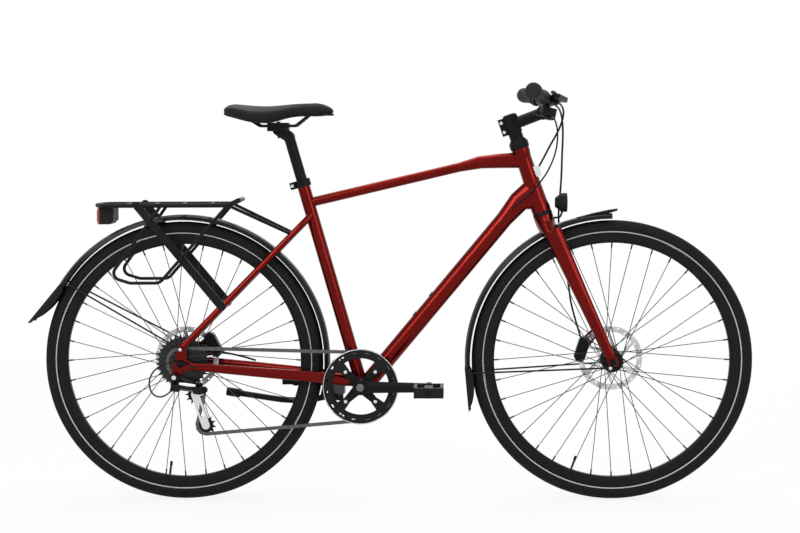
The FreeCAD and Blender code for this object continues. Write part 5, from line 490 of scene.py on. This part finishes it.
# turned finishes, each round its own axle
axles = {"front": Vector((0.555, 0, 0.348)), "rear": Vector((-0.511, 0, 0.348))}
crankCentre = Vector((-0.068045, 0, 0.288))
turnedFace = {"shine": 0.09, "depth": 0.0001}
wheelFinishes = {
    "Disc": {"dark": (0.45, 0.45, 0.46), "light": (0.72, 0.72, 0.73), "rough": (0.2, 0.36),
             "metal": 1.0, "rings": 1600.0, "bump": 0.2},
    "RimBlack": {"dark": (0.006, 0.006, 0.0065), "light": (0.014, 0.014, 0.015),
                 "rough": (0.3, 0.42), "metal": 0.0, "rings": 500.0, "bump": 0.05},
}
cogSteel = {"dark": (0.012, 0.012, 0.013), "light": (0.06, 0.06, 0.063), "rough": (0.28, 0.44),
            "metal": 1.0, "rings": 1400.0, "bump": 0.15}
ringBlack = {"dark": (0.012, 0.012, 0.013), "light": (0.03, 0.03, 0.032), "rough": (0.28, 0.42),
             "metal": 0.2, "rings": 900.0, "bump": 0.1}


def turnedFinish(name, centre, values):
    material, tree, bsdf = newFinish(name)
    marks = placeGroup(tree, turnedMarks, {"Centre": centre, "Rings": values["rings"]})
    ring = marks.outputs["Ring"]
    colour = blendColours(tree, ring, values["dark"], values["light"])
    tree.links.new(colour, bsdf.inputs["Base Color"])
    tree.links.new(spread(tree, ring, *values["rough"]), bsdf.inputs["Roughness"])
    bsdf.inputs["Metallic"].default_value = values["metal"]
    bsdf.inputs["Specular IOR Level"].default_value = turnedFace["shine"]
    addBump(tree, bsdf, ring, values["bump"], turnedFace["depth"])
    return material


for end, centre in axles.items():
    for kind, values in wheelFinishes.items():
        made[end + kind] = turnedFinish(end + kind, centre, values)
made["cogSteel"] = turnedFinish("cogSteel", axles["rear"], cogSteel)
made["ringBlack"] = turnedFinish("ringBlack", crankCentre, ringBlack)

# tyre rubber: cross cuts on the crown, a plain wall
treadRubber = {
    "dark": (0.006, 0.006, 0.0063),
    "light": (0.014, 0.014, 0.0145),
    "rough": (0.6, 0.78),
    "shine": 0.1,
    "rays": 420.0,
    "grain": {"Fine Scale": 700.0, "Broad Scale": 14.0, "Fine Share": 0.5},
    "crown": (0.339, 0.342),
    "cutFrom": 0.55,
    "speck": 0.15,
    "bump": (0.7, 0.0009),
}


def treadFinish(name, centre, values):
    material, tree, bsdf = newFinish(name)
    marks = placeGroup(tree, turnedMarks, {"Centre": centre, "Rays": values["rays"]})
    grain = placeGroup(tree, skinGrain, values["grain"])
    colour = blendColours(tree, grain.outputs["Mottle"], values["dark"], values["light"])
    tree.links.new(colour, bsdf.inputs["Base Color"])
    rough = spread(tree, grain.outputs["Mottle"], *values["rough"])
    tree.links.new(rough, bsdf.inputs["Roughness"])
    bsdf.inputs["Specular IOR Level"].default_value = values["shine"]
    crown = spread(tree, marks.outputs["Radius"], 0.0, 1.0, *values["crown"])
    cuts = mathNode(tree, "GREATER_THAN", marks.outputs["Ray"], values["cutFrom"])
    speck = mathNode(tree, "MULTIPLY", grain.outputs["Speck"], values["speck"])
    height = mathNode(tree, "SUBTRACT", speck, mathNode(tree, "MULTIPLY", cuts, crown))
    addBump(tree, bsdf, height, *values["bump"])
    return material


for end, centre in axles.items():
    made[end + "Tread"] = treadFinish(end + "Tread", centre, treadRubber)
print("finishes made:", len(made))

# finish for each node that stays as it is
nodeFinish = {
    "frame": "candyRed", "fork": "candyRed", "bearing_cups": "satinBlack",
    "bottle_bosses": "darkSteel", "seat_clamp": "satinBlack", "rear_axle": "satinBlack",
    "rear_caliper": "satinBlack", "derailleur_bracket": "satinBlack", "rear_rack": "rackBlack",
    "rear_light": "mouldedBlack", "rear_light_lens": "redLens", "rear_fender": "glossBlack",
    "head_reflector": "reflectorWhite", "chain": "chainSteel", "front_caliper": "satinBlack",
    "headset_spacers": "satinBlack", "stem": "satinBlack", "handlebar": "satinBlack",
    "grips": "gripRubber", "brake_lever_brackets": "satinBlack", "shifter_body": "mouldedBlack",
    "bell": "glossBlack", "front_axle": "satinBlack", "front_fender": "glossBlack",
    "front_light": "mouldedBlack", "front_light_lens": "clearLens", "front_rim": "frontRimBlack",
    "front_spokes": "spokeSteel", "front_rotor": "frontDisc", "front_hub": "satinBlack",
    "rear_rim": "rearRimBlack", "rear_spokes": "spokeSteel", "rear_rotor": "rearDisc",
    "rear_hub": "satinBlack", "cassette": "cogSteel", "right_crank": "satinBlack",
    "left_crank": "satinBlack", "chainring": "ringBlack", "chain_guard": "mouldedBlack",
    "left_pedal": "mouldedBlack", "right_pedal": "mouldedBlack",
    "left_brake_lever": "satinBlack", "right_brake_lever": "satinBlack",
    "shift_thumb_lever": "mouldedBlack", "shift_release_lever": "mouldedBlack",
    "derailleur_outer_link": "satinBlack", "derailleur_inner_link": "darkSteel",
    "derailleur_knuckle": "satinBlack", "derailleur_cage": "satinAlloy",
    "guide_pulley": "mouldedBlack", "tension_pulley": "mouldedBlack",
    "kickstand_leg": "satinBlack", "seatpost": "satinBlack", "saddle_base": "mouldedBlack",
}
shading = {"limit": 34, "weld": 0.000002}


def buildSoftShade(values):
    # joins split corners and shades every edge flatter than the limit as smooth
    group = bpy.data.node_groups.new("softShade", "GeometryNodeTree")
    for way in ("INPUT", "OUTPUT"):
        group.interface.new_socket("Geometry", in_out=way, socket_type="NodeSocketGeometry")
    nodes, links = group.nodes, group.links
    source = nodes.new("NodeGroupInput")
    target = nodes.new("NodeGroupOutput")
    drop = nodes.new("GeometryNodeRemoveAttribute")
    drop.inputs["Name"].default_value = "custom_normal"
    weld = nodes.new("GeometryNodeMergeByDistance")
    weld.inputs["Distance"].default_value = values["weld"]
    faces = nodes.new("GeometryNodeSetShadeSmooth")
    edges = nodes.new("GeometryNodeSetShadeSmooth")
    edges.domain = "EDGE"
    angle = nodes.new("GeometryNodeInputMeshEdgeAngle")
    flat = nodes.new("FunctionNodeCompare")
    flat.data_type = "FLOAT"
    flat.operation = "LESS_THAN"
    flat.inputs["B"].default_value = math.radians(values["limit"])
    links.new(angle.outputs["Unsigned Angle"], flat.inputs["A"])
    links.new(flat.outputs["Result"], edges.inputs["Shade Smooth"])
    stages = (source, drop, weld, faces, edges, target)
    for first, second in zip(stages, stages[1:]):
        links.new(first.outputs[0], second.inputs[0])
    return group


softShade = buildSoftShade(shading)


def shadeSoftly(piece):
    piece.modifiers.new("softShade", "NODES").node_group = softShade


for name, finish in nodeFinish.items():
    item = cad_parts[name]
    item.data.materials.clear()
    item.data.materials.append(made[finish])
    shadeSoftly(item)
print("nodes dressed:", len(nodeFinish))


def newPiece(name, points, faces, finish, smooth=True):
    mesh = bpy.data.meshes.new(name)
    mesh.from_pydata(points, [], faces)
    mesh.update()
    piece = bpy.data.objects.new(name, mesh)
    scene.collection.objects.link(piece)
    for key in finish if isinstance(finish, (list, tuple)) else [finish]:
        mesh.materials.append(made[key])
    if smooth:
        mesh.polygons.foreach_set("use_smooth", [True] * len(mesh.polygons))
    return piece


def bakedMesh(draft):
    # final mesh of a draft, which is then removed
    scene.collection.objects.link(draft)
    bpy.context.view_layer.update()
    final = draft.evaluated_get(bpy.context.evaluated_depsgraph_get())
    mesh = bpy.data.meshes.new_from_object(final)
    bpy.data.objects.remove(draft)
    return mesh


def loftFaces(rows, count, closed=False):
    # four-sided faces between rows of points, each row a ring
    faces = []
    for row in range(rows if closed else rows - 1):
        here, there = row * count, (row + 1) % rows * count
        for index in range(count):
            onward = (index + 1) % count
            faces.append((here + index, here + onward, there + onward, there + index))
    return faces


def endFaces(rows, count):
    return [tuple(reversed(range(count))), tuple(range((rows - 1) * count, rows * count))]


def turned(name, profile, centre, steps, finish, pick=None):
    # closed profile of radius and side, turned round the axle's Y line
    points = []
    for step in range(steps):
        turn = 2 * math.pi * step / steps
        for radius, side in profile:
            points.append((centre.x + radius * math.cos(turn), centre.y + side,
                           centre.z + radius * math.sin(turn)))
    piece = newPiece(name, points, loftFaces(steps, len(profile), closed=True), finish)
    if pick:
        marks = [pick(first, second) for first, second in zip(profile, profile[1:] + profile[:1])]
        piece.data.polygons.foreach_set("material_index", marks * steps)
    return piece


# tyres: round carcass, shallow tread grooves, reflective line by the rim
tyreShape = {
    "middle": 0.3295,
    "half": 0.0185,
    "inner": 0.0155,
    "skin": 0.001,
    "endAngle": 131.0,
    "points": 56,
    "steps": 220,
    "grooves": ((0.0, 5.0), (24.0, 4.0), (-24.0, 4.0)),  # middle and width in degrees
    "grooveDepth": 0.0009,
    "line": (0.3182, 0.3212),
}


def tyreProfile(values):
    outside, inside = [], []
    inner = values["inner"]
    for index in range(values["points"] + 1):
        angle = values["endAngle"] * (2 * index / values["points"] - 1)
        reach = values["half"]
        for middle, width in values["grooves"]:
            if abs(angle - middle) < width / 2:
                reach -= values["grooveDepth"]
        turn = math.radians(angle)
        outside.append((values["middle"] + reach * math.cos(turn), reach * math.sin(turn)))
        inside.append((values["middle"] + inner * math.cos(turn), inner * math.sin(turn)))
    return outside + inside[::-1]


def tyrePick(first, second):
    # one for the reflective line, nought for the rubber
    low, high = tyreShape["line"]
    middle = (first[0] + second[0]) / 2
    depth = math.hypot(first[0] - tyreShape["middle"], first[1])
    outer = depth > tyreShape["inner"] + tyreShape["skin"]
    return 1 if outer and low < middle < high else 0


for end, centre in axles.items():
    tyre = turned(end + "TyreTread", tyreProfile(tyreShape), centre, tyreShape["steps"],
                  [end + "Tread", "stripeGrey"], tyrePick)
    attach(tyre, end + "_wheel")
    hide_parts(end + "_tyre")
print("tyres turned")

# saddle: foam shape grown from its solid, with a shallow relief channel
saddleShape = {
    "voxel": 0.0032,
    "ease": 0.5,
    "easeTurns": 14,
    "topFacing": 0.3,
    "channelX": (-0.372, -0.175),
    "channelHalf": 0.013,
    "channelDepth": 0.0035,
    "channelRamp": 2,
    "channelCurve": 1.5,
}


def makeSaddle(values):
    draft = bpy.data.objects.new("saddleDraft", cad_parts["saddle_cover"].data.copy())
    grid = draft.modifiers.new("grid", "REMESH")
    grid.mode = "VOXEL"
    grid.voxel_size = values["voxel"]
    ease = draft.modifiers.new("ease", "SMOOTH")
    ease.factor = values["ease"]
    ease.iterations = values["easeTurns"]
    mesh = bakedMesh(draft)
    mesh.name = "saddleFoam"
    low, high = values["channelX"]
    for vertex in mesh.vertices:
        x, y = vertex.co.xy
        if vertex.normal.z > values["topFacing"] and low < x < high:
            along = math.sin(math.pi * (x - low) / (high - low))
            across = max(0.0, 1 - (y / values["channelHalf"]) ** 2)
            sunk = min(1.0, along * values["channelRamp"]) * across ** values["channelCurve"]
            vertex.co.z -= values["channelDepth"] * sunk
    mesh.materials.clear()
    mesh.materials.append(made["saddleSkin"])
    mesh.polygons.foreach_set("use_smooth", [True] * len(mesh.polygons))
    piece = bpy.data.objects.new("saddleFoam", mesh)
    scene.collection.objects.link(piece)
    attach(piece, "seat")
    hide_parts("saddle_cover")


makeSaddle(saddleShape)
print("saddle shaped")

# hoses and gear cable: route points in metres, as in the part's source
hoseRoutes = {
    "frontBrakeHose": {
        "points": ((0.41163, 0.1378, 0.98735), (0.426, 0.092, 0.980), (0.434, 0.052, 0.955),
                   (0.436, 0.030, 0.912), (0.433, 0.024, 0.862), (0.432, 0.028, 0.812),
                   (0.430, 0.042, 0.768), (0.426, 0.057, 0.722), (0.427, 0.063, 0.674),
                   (0.434, 0.064, 0.624), (0.444, 0.0635, 0.574), (0.453, 0.063, 0.524),
                   (0.458, 0.060, 0.476), (0.48094, 0.042, 0.40048)),
        "radius": 0.0025, "length": 0.667, "rides": "steering", "node": "front_brake_hose"},
    "rearBrakeHose": {
        "points": ((0.41163, -0.1378, 0.98735), (0.426, -0.092, 0.980), (0.434, -0.052, 0.958),
                   (0.424, -0.016, 0.920), (0.402, 0.014, 0.880), (0.382, 0.034, 0.838),
                   (0.356, 0.041, 0.796), (0.328, 0.033, 0.757), (0.303, 0.0234, 0.726)),
        "radius": 0.0025, "length": 0.391, "rides": None, "node": "rear_brake_hose"},
    "rearHoseEnd": {
        "points": ((-0.338, 0.0553, 0.341), (-0.374, 0.056, 0.3535), (-0.42211, 0.054, 0.36189)),
        "radius": 0.0025, "length": 0.087, "rides": "frame", "node": "rear_brake_hose"},
    "gearCable": {
        "points": ((0.39884, -0.12211, 0.95844), (0.411, -0.082, 0.944), (0.419, -0.054, 0.910),
                   (0.415, -0.040, 0.866), (0.398, -0.037, 0.822), (0.370, -0.036, 0.782),
                   (0.337, -0.030, 0.750), (0.305, -0.0226, 0.724)),
        "radius": 0.002, "length": 0.317, "rides": None, "node": "shift_cable"},
    "gearCableLoop": {
        "points": ((-0.470, -0.079, 0.338), (-0.508, -0.090, 0.354), (-0.548, -0.087, 0.352),
                   (-0.580, -0.0845, 0.330), (-0.590, -0.084, 0.298), (-0.578, -0.085, 0.270),
                   (-0.550, -0.088, 0.266), (-0.534, -0.0865, 0.282)),
        "radius": 0.002, "length": 0.229, "rides": "frame", "node": "shift_cable"},
}
hoseTube = {"lengthSteps": 10, "roundSteps": 5, "order": 3}


def routeMesh(name, points, radius, values):
    data = bpy.data.curves.new(name, "CURVE")
    data.dimensions = "3D"
    data.resolution_u = values["lengthSteps"]
    data.bevel_depth = radius
    data.bevel_resolution = values["roundSteps"]
    data.use_fill_caps = True
    line = data.splines.new("NURBS")
    line.points.add(len(points) - 1)
    for point, place in zip(line.points, points):
        point.co = (*place, 1)
    line.order_u = values["order"]
    line.use_endpoint_u = True
    line.use_smooth = True
    return bakedMesh(bpy.data.objects.new(name + "Draft", data))


def makeHose(name, values):
    # a tube on its own smooth line, which is also the line it is measured on
    tube = routeMesh(name, values["points"], values["radius"], hoseTube)
    tube.name = name
    tube.materials.clear()
    tube.materials.append(made["hoseBlack"])
    line = routeMesh(name + "Line", values["points"], 0, hoseTube)
    piece = bpy.data.objects.new(name, tube)
    scene.collection.objects.link(piece)
    if values["rides"]:
        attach(piece, values["rides"])
    else:
        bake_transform(piece)
    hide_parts(values["node"])


for name, values in hoseRoutes.items():
    makeHose(name, values)
print("hoses laid:", len(hoseRoutes))

# bolt heads, each domed with a six-sided recess: shares of its radius and height
boltShape = {
    "steps": 28,
    "rings": ((0.98, 0.0), (1, 0.15), (1, 0.7), (0.9, 0.95), (0.8, 1)),
    "recess": 0.52,
    "recessRises": (1, 0.35),
}
# place, way out, radius, height and the body that carries each
boltHeads = {
    "leftRearEyeBolt": ((-0.510, 0.0826, 0.384), (0, 1, 0), 0.0042, 0.003, "frame"),
    "rightRearEyeBolt": ((-0.510, -0.0826, 0.384), (0, -1, 0), 0.0042, 0.003, "frame"),
    "leftFrontEyeBolt": ((0.547, 0.0661, 0.335), (0, 1, 0), 0.0042, 0.003, "steering"),
    "rightFrontEyeBolt": ((0.547, -0.0661, 0.335), (0, -1, 0), 0.0042, 0.003, "steering"),
    "hangerBolt": ((-0.5254, -0.0916, 0.3156), (0, -1, 0), 0.0055, 0.0016, "frame"),
    "standBolt": ((-0.1263, 0.0483, 0.2650), (0.0966, 0.897, 0.4314), 0.0065, 0.002, "frame"),
    "lowerStemBolt": ((0.28875, -0.0116, 0.91325), (0, -1, 0), 0.004, 0.0012, "steering"),
    "upperStemBolt": ((0.28105, -0.0116, 0.93595), (0, -1, 0), 0.004, 0.0012, "steering"),
    "seatClampBolt": ((-0.236, -0.013, 0.7829), (0, -1, 0), 0.004, 0.0014, "frame"),
    "rightCrankBolt": ((-0.068045, -0.070, 0.288), (0, -1, 0), 0.0095, 0.003, "crankset"),
    "leftCrankBolt": ((-0.068045, 0.070, 0.288), (0, 1, 0), 0.0095, 0.003, "crankset"),
    "ringBoltA": ((-0.0313, -0.0555, 0.3248), (0, -1, 0), 0.0042, 0.0012, "crankset"),
    "ringBoltB": ((-0.1048, -0.0555, 0.3248), (0, -1, 0), 0.0042, 0.0012, "crankset"),
    "ringBoltC": ((-0.1048, -0.0555, 0.2512), (0, -1, 0), 0.0042, 0.0012, "crankset"),
    "ringBoltD": ((-0.0313, -0.0555, 0.2512), (0, -1, 0), 0.0042, 0.0012, "crankset"),
}
darkBolts = ("rightCrankBolt", "leftCrankBolt")


def boltPoints(radius, height, values):
    # rings from the head's foot to the bottom of the recess
    turns = [2 * math.pi * step / values["steps"] for step in range(values["steps"])]
    sixth = math.pi / 3
    flat = radius * values["recess"] * math.cos(sixth / 2)
    rings = [([radius * reach] * len(turns), rise) for reach, rise in values["rings"]]
    hexagon = [flat / math.cos((turn + sixth / 2) % sixth - sixth / 2) for turn in turns]
    rings += [(hexagon, rise) for rise in values["recessRises"]]
    return [(span * math.cos(turn), span * math.sin(turn), height * rise)
            for spans, rise in rings for span, turn in zip(spans, turns)]


def addBolt(name, place, way, radius, height, finish, body):
    points = boltPoints(radius, height, boltShape)
    count = boltShape["steps"]
    rows = len(points) // count
    faces = loftFaces(rows, count) + endFaces(rows, count)[::-1]
    piece = newPiece(name, points, faces, finish, smooth=False)
    turn = Vector(way).to_track_quat("Z", "Y").to_matrix().to_4x4()
    piece.data.transform(Matrix.Translation(place) @ turn)
    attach(piece, body)


for name, (place, way, radius, height, body) in boltHeads.items():
    finish = "darkSteel" if name in darkBolts else "satinAlloy"
    addBolt(name, place, way, radius, height, finish, body)
print("bolt heads set:", len(boltHeads))

# mudguard flaps: a moulded channel round each plain plate, its lips turned in beside the tyre
flapShapes = {
    "rear": {"angle": 150.0, "kick": 10.0, "length": 0.120, "body": "frame"},
    "front": {"angle": 185.0, "kick": 0.0, "length": 0.104, "body": "steering"},
}
flapSkin = {
    "radius": 0.36375,
    "setBack": 0.013,
    "half": 0.0278,
    "flare": 0.0012,
    "cover": 0.0019,
    "wall": 0.0015,
    "lip": (0.013, 0.024, 0.006),  # at the top, at its deepest and at the tip
    "swellTo": 0.9,
    "swellShare": 0.9,
    "swellCurve": 0.6,
    "corner": 0.006,
    "cornerSteps": 6,
    "rows": 26,
}


def flapSection(half, lip, values):
    # outer skin from lip to lip, then the inner skin back: side and depth from the outer face
    corner, wall = values["corner"], values["wall"]
    base = 2 * values["cover"]
    outer = [(-half, lip)]
    for step in range(values["cornerSteps"] + 1):
        turn = math.radians(90 * step / values["cornerSteps"])
        outer.append((-half + corner - corner * math.cos(turn), corner - corner * math.sin(turn)))
    outer += [(-side, depth) for side, depth in reversed(outer)]
    inner = [(half - wall, lip), (half - wall, base + corner / 2),
             (half - wall - corner / 2, base)]
    inner += [(-side, depth) for side, depth in reversed(inner)]
    return outer + inner


def makeFlap(end, centre, shape, values):
    last = math.radians(shape["angle"])
    hang = last - math.radians(shape["kick"])
    out = Vector((math.cos(last), 0, math.sin(last)))
    down = Vector((-math.sin(hang), 0, math.cos(hang)))
    face = Vector((down.z, 0, -down.x))
    top = centre + out * values["radius"] - down * values["setBack"]
    first, deep, tip = values["lip"]
    rows, swellTo = values["rows"], values["swellTo"]
    points = []
    for row in range(rows + 1):
        share = row / rows
        swell = 0.0
        if share < swellTo:
            swell = math.sin(math.pi * (share / swellTo)) ** values["swellCurve"]
        lip = first + (tip - first) * share + (deep - first) * swell * values["swellShare"]
        half = values["half"] + values["flare"] * share
        middle = top + down * (shape["length"] * share)
        section = flapSection(half, lip, values)
        for side, depth in section:
            points.append(middle + face * (values["cover"] - depth) + Vector((0, side, 0)))
    count = len(section)
    faces = loftFaces(rows + 1, count) + endFaces(rows + 1, count)
    piece = newPiece(end + "FlapSkin", points, faces, "mouldedBlack")
    shadeSoftly(piece)
    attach(piece, shape["body"])


for end, shape in flapShapes.items():
    makeFlap(end, axles[end], shape, flapSkin)
print("flaps moulded")

# section of a thin moulded strip with eased edges: shares of half width and thickness
stripOutline = ((-1, 0.3), (-0.86, 0), (0.86, 0), (1, 0.3),
                (1, 0.7), (0.86, 1), (-0.86, 1), (-1, 0.7))


def makeStrip(name, rows, finish, body):
    # each row: middle, side way, out way, half width, thickness
    points = []
    for middle, side, out, half, thick in rows:
        points += [middle + side * (half * across) + out * (thick * rise)
                   for across, rise in stripOutline]
    count = len(stripOutline)
    faces = loftFaces(len(rows), count) + endFaces(len(rows), count)
    piece = newPiece(name, points, faces, finish)
    mesh = bmesh.new()
    mesh.from_mesh(piece.data)
    bmesh.ops.recalc_face_normals(mesh, faces=mesh.faces)
    mesh.to_mesh(piece.data)
    mesh.free()
    shadeSoftly(piece)
    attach(piece, body)


# upswept tongue on the front mudguard's tip
tongueShape = {
    "from": 104.0,
    "to": 88.0,
    "rows": 20,
    "radius": 0.3642,
    "thick": 0.0012,
    "rise": 0.0115,
    "riseCurve": 1.6,
    "tipRise": 0.0075,
    "tipFrom": 0.72,
    "tipCurve": 1.4,
    "half": (0.0125, 0.0075),
    "halfCurve": 2,
}


def tongueRows(values):
    rows = []
    wide, slim = values["half"]
    across = Vector((0, 1, 0))
    for step in range(values["rows"] + 1):
        share = step / values["rows"]
        turn = math.radians(values["from"] + (values["to"] - values["from"]) * share)
        out = Vector((math.cos(turn), 0, math.sin(turn)))
        lifted = max(0.0, (share - values["tipFrom"]) / (1 - values["tipFrom"]))
        under = values["tipRise"] * lifted ** values["tipCurve"]
        over = values["thick"] + values["rise"] * share ** values["riseCurve"]
        half = wide + (slim - wide) * share ** values["halfCurve"]
        rows.append((axles["front"] + out * (values["radius"] + under), across, out, half,
                     over - under))
    return rows


makeStrip("frontGuardTongue", tongueRows(tongueShape), "mouldedBlack", "steering")

# pale plate on the derailleur's outer link, from pin to pin
linkPlate = {
    "from": (-0.516499, -0.086845, 0.297778),
    "to": (-0.472499, -0.078845, 0.291065),
    "pin": (0, 0.642788, 0.766044),
    "ends": (0.06, 0.94),
    "half": 0.0048,
    "endShare": 0.7,
    "thick": 0.0012,
    "sunkShare": 0.2,
    "rows": 12,
}


def linkPlateRows(values):
    start, end, pin = (Vector(values[key]) for key in ("from", "to", "pin"))
    out = (end - start).cross(pin).normalized()
    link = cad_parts["derailleur_outer_link"].data
    face = max((vertex.co - start).dot(out) for vertex in link.vertices)
    lift = out * (face - values["thick"] * values["sunkShare"])
    low, high = values["ends"]
    rows = []
    for step in range(values["rows"] + 1):
        share = step / values["rows"]
        swell = values["endShare"] + (1 - values["endShare"]) * math.sin(math.pi * share)
        middle = start.lerp(end, low + (high - low) * share) + lift
        rows.append((middle, pin, out, values["half"] * swell, values["thick"]))
    return rows


makeStrip("derailleurPlate", linkPlateRows(linkPlate), "satinAlloy", "outer_link")
print("strips moulded")

# bright line round the chain guard
guardLine = {"inset": 0.0012, "thick": 0.0007, "sunk": 0.0002, "steps": 120}


def makeGuardLine(values):
    low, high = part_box("chain_guard")
    radius = (high.x - low.x) / 2 - values["inset"]
    inner, outer = radius - values["thick"], radius + values["thick"]
    foot, face = low.y + values["sunk"], low.y - values["thick"]
    profile = [(inner, foot), (inner, face), (outer, face), (outer, foot)]
    piece = turned("guardBrightLine", profile, crankCentre, values["steps"], "satinAlloy")
    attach(piece, "crankset")


makeGuardLine(guardLine)

# valves, one on each rim: the profile gives shares of radius and length
valveShape = {
    "angle": {"front": 250.0, "rear": 262.0},
    "radius": 0.0028,
    "from": 0.2905,
    "length": 0.034,
    "profile": ((0.0001, 0), (0.9, 0), (1, 0.03), (1, 0.55), (0.8, 0.58), (0.8, 0.62),
                (1.25, 0.64), (1.25, 0.9), (1.05, 0.97), (0.0001, 1)),
    "steps": 16,
}


def makeValve(end, centre, values):
    turn = math.radians(values["angle"][end])
    way = Vector((math.cos(turn), 0, math.sin(turn)))
    steps = values["steps"]
    points = []
    for reach, rise in values["profile"]:
        span = reach * values["radius"]
        for step in range(steps):
            angle = 2 * math.pi * step / steps
            points.append((span * math.cos(angle), span * math.sin(angle),
                           rise * values["length"]))
    piece = newPiece(end + "Valve", points, loftFaces(len(values["profile"]), steps),
                     "mouldedBlack")
    inward = (-way).to_track_quat("Z", "Y").to_matrix().to_4x4()
    piece.data.transform(Matrix.Translation(centre + way * values["from"]) @ inward)
    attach(piece, end + "_wheel")


for end, centre in axles.items():
    makeValve(end, centre, valveShape)
print("small hardware made")
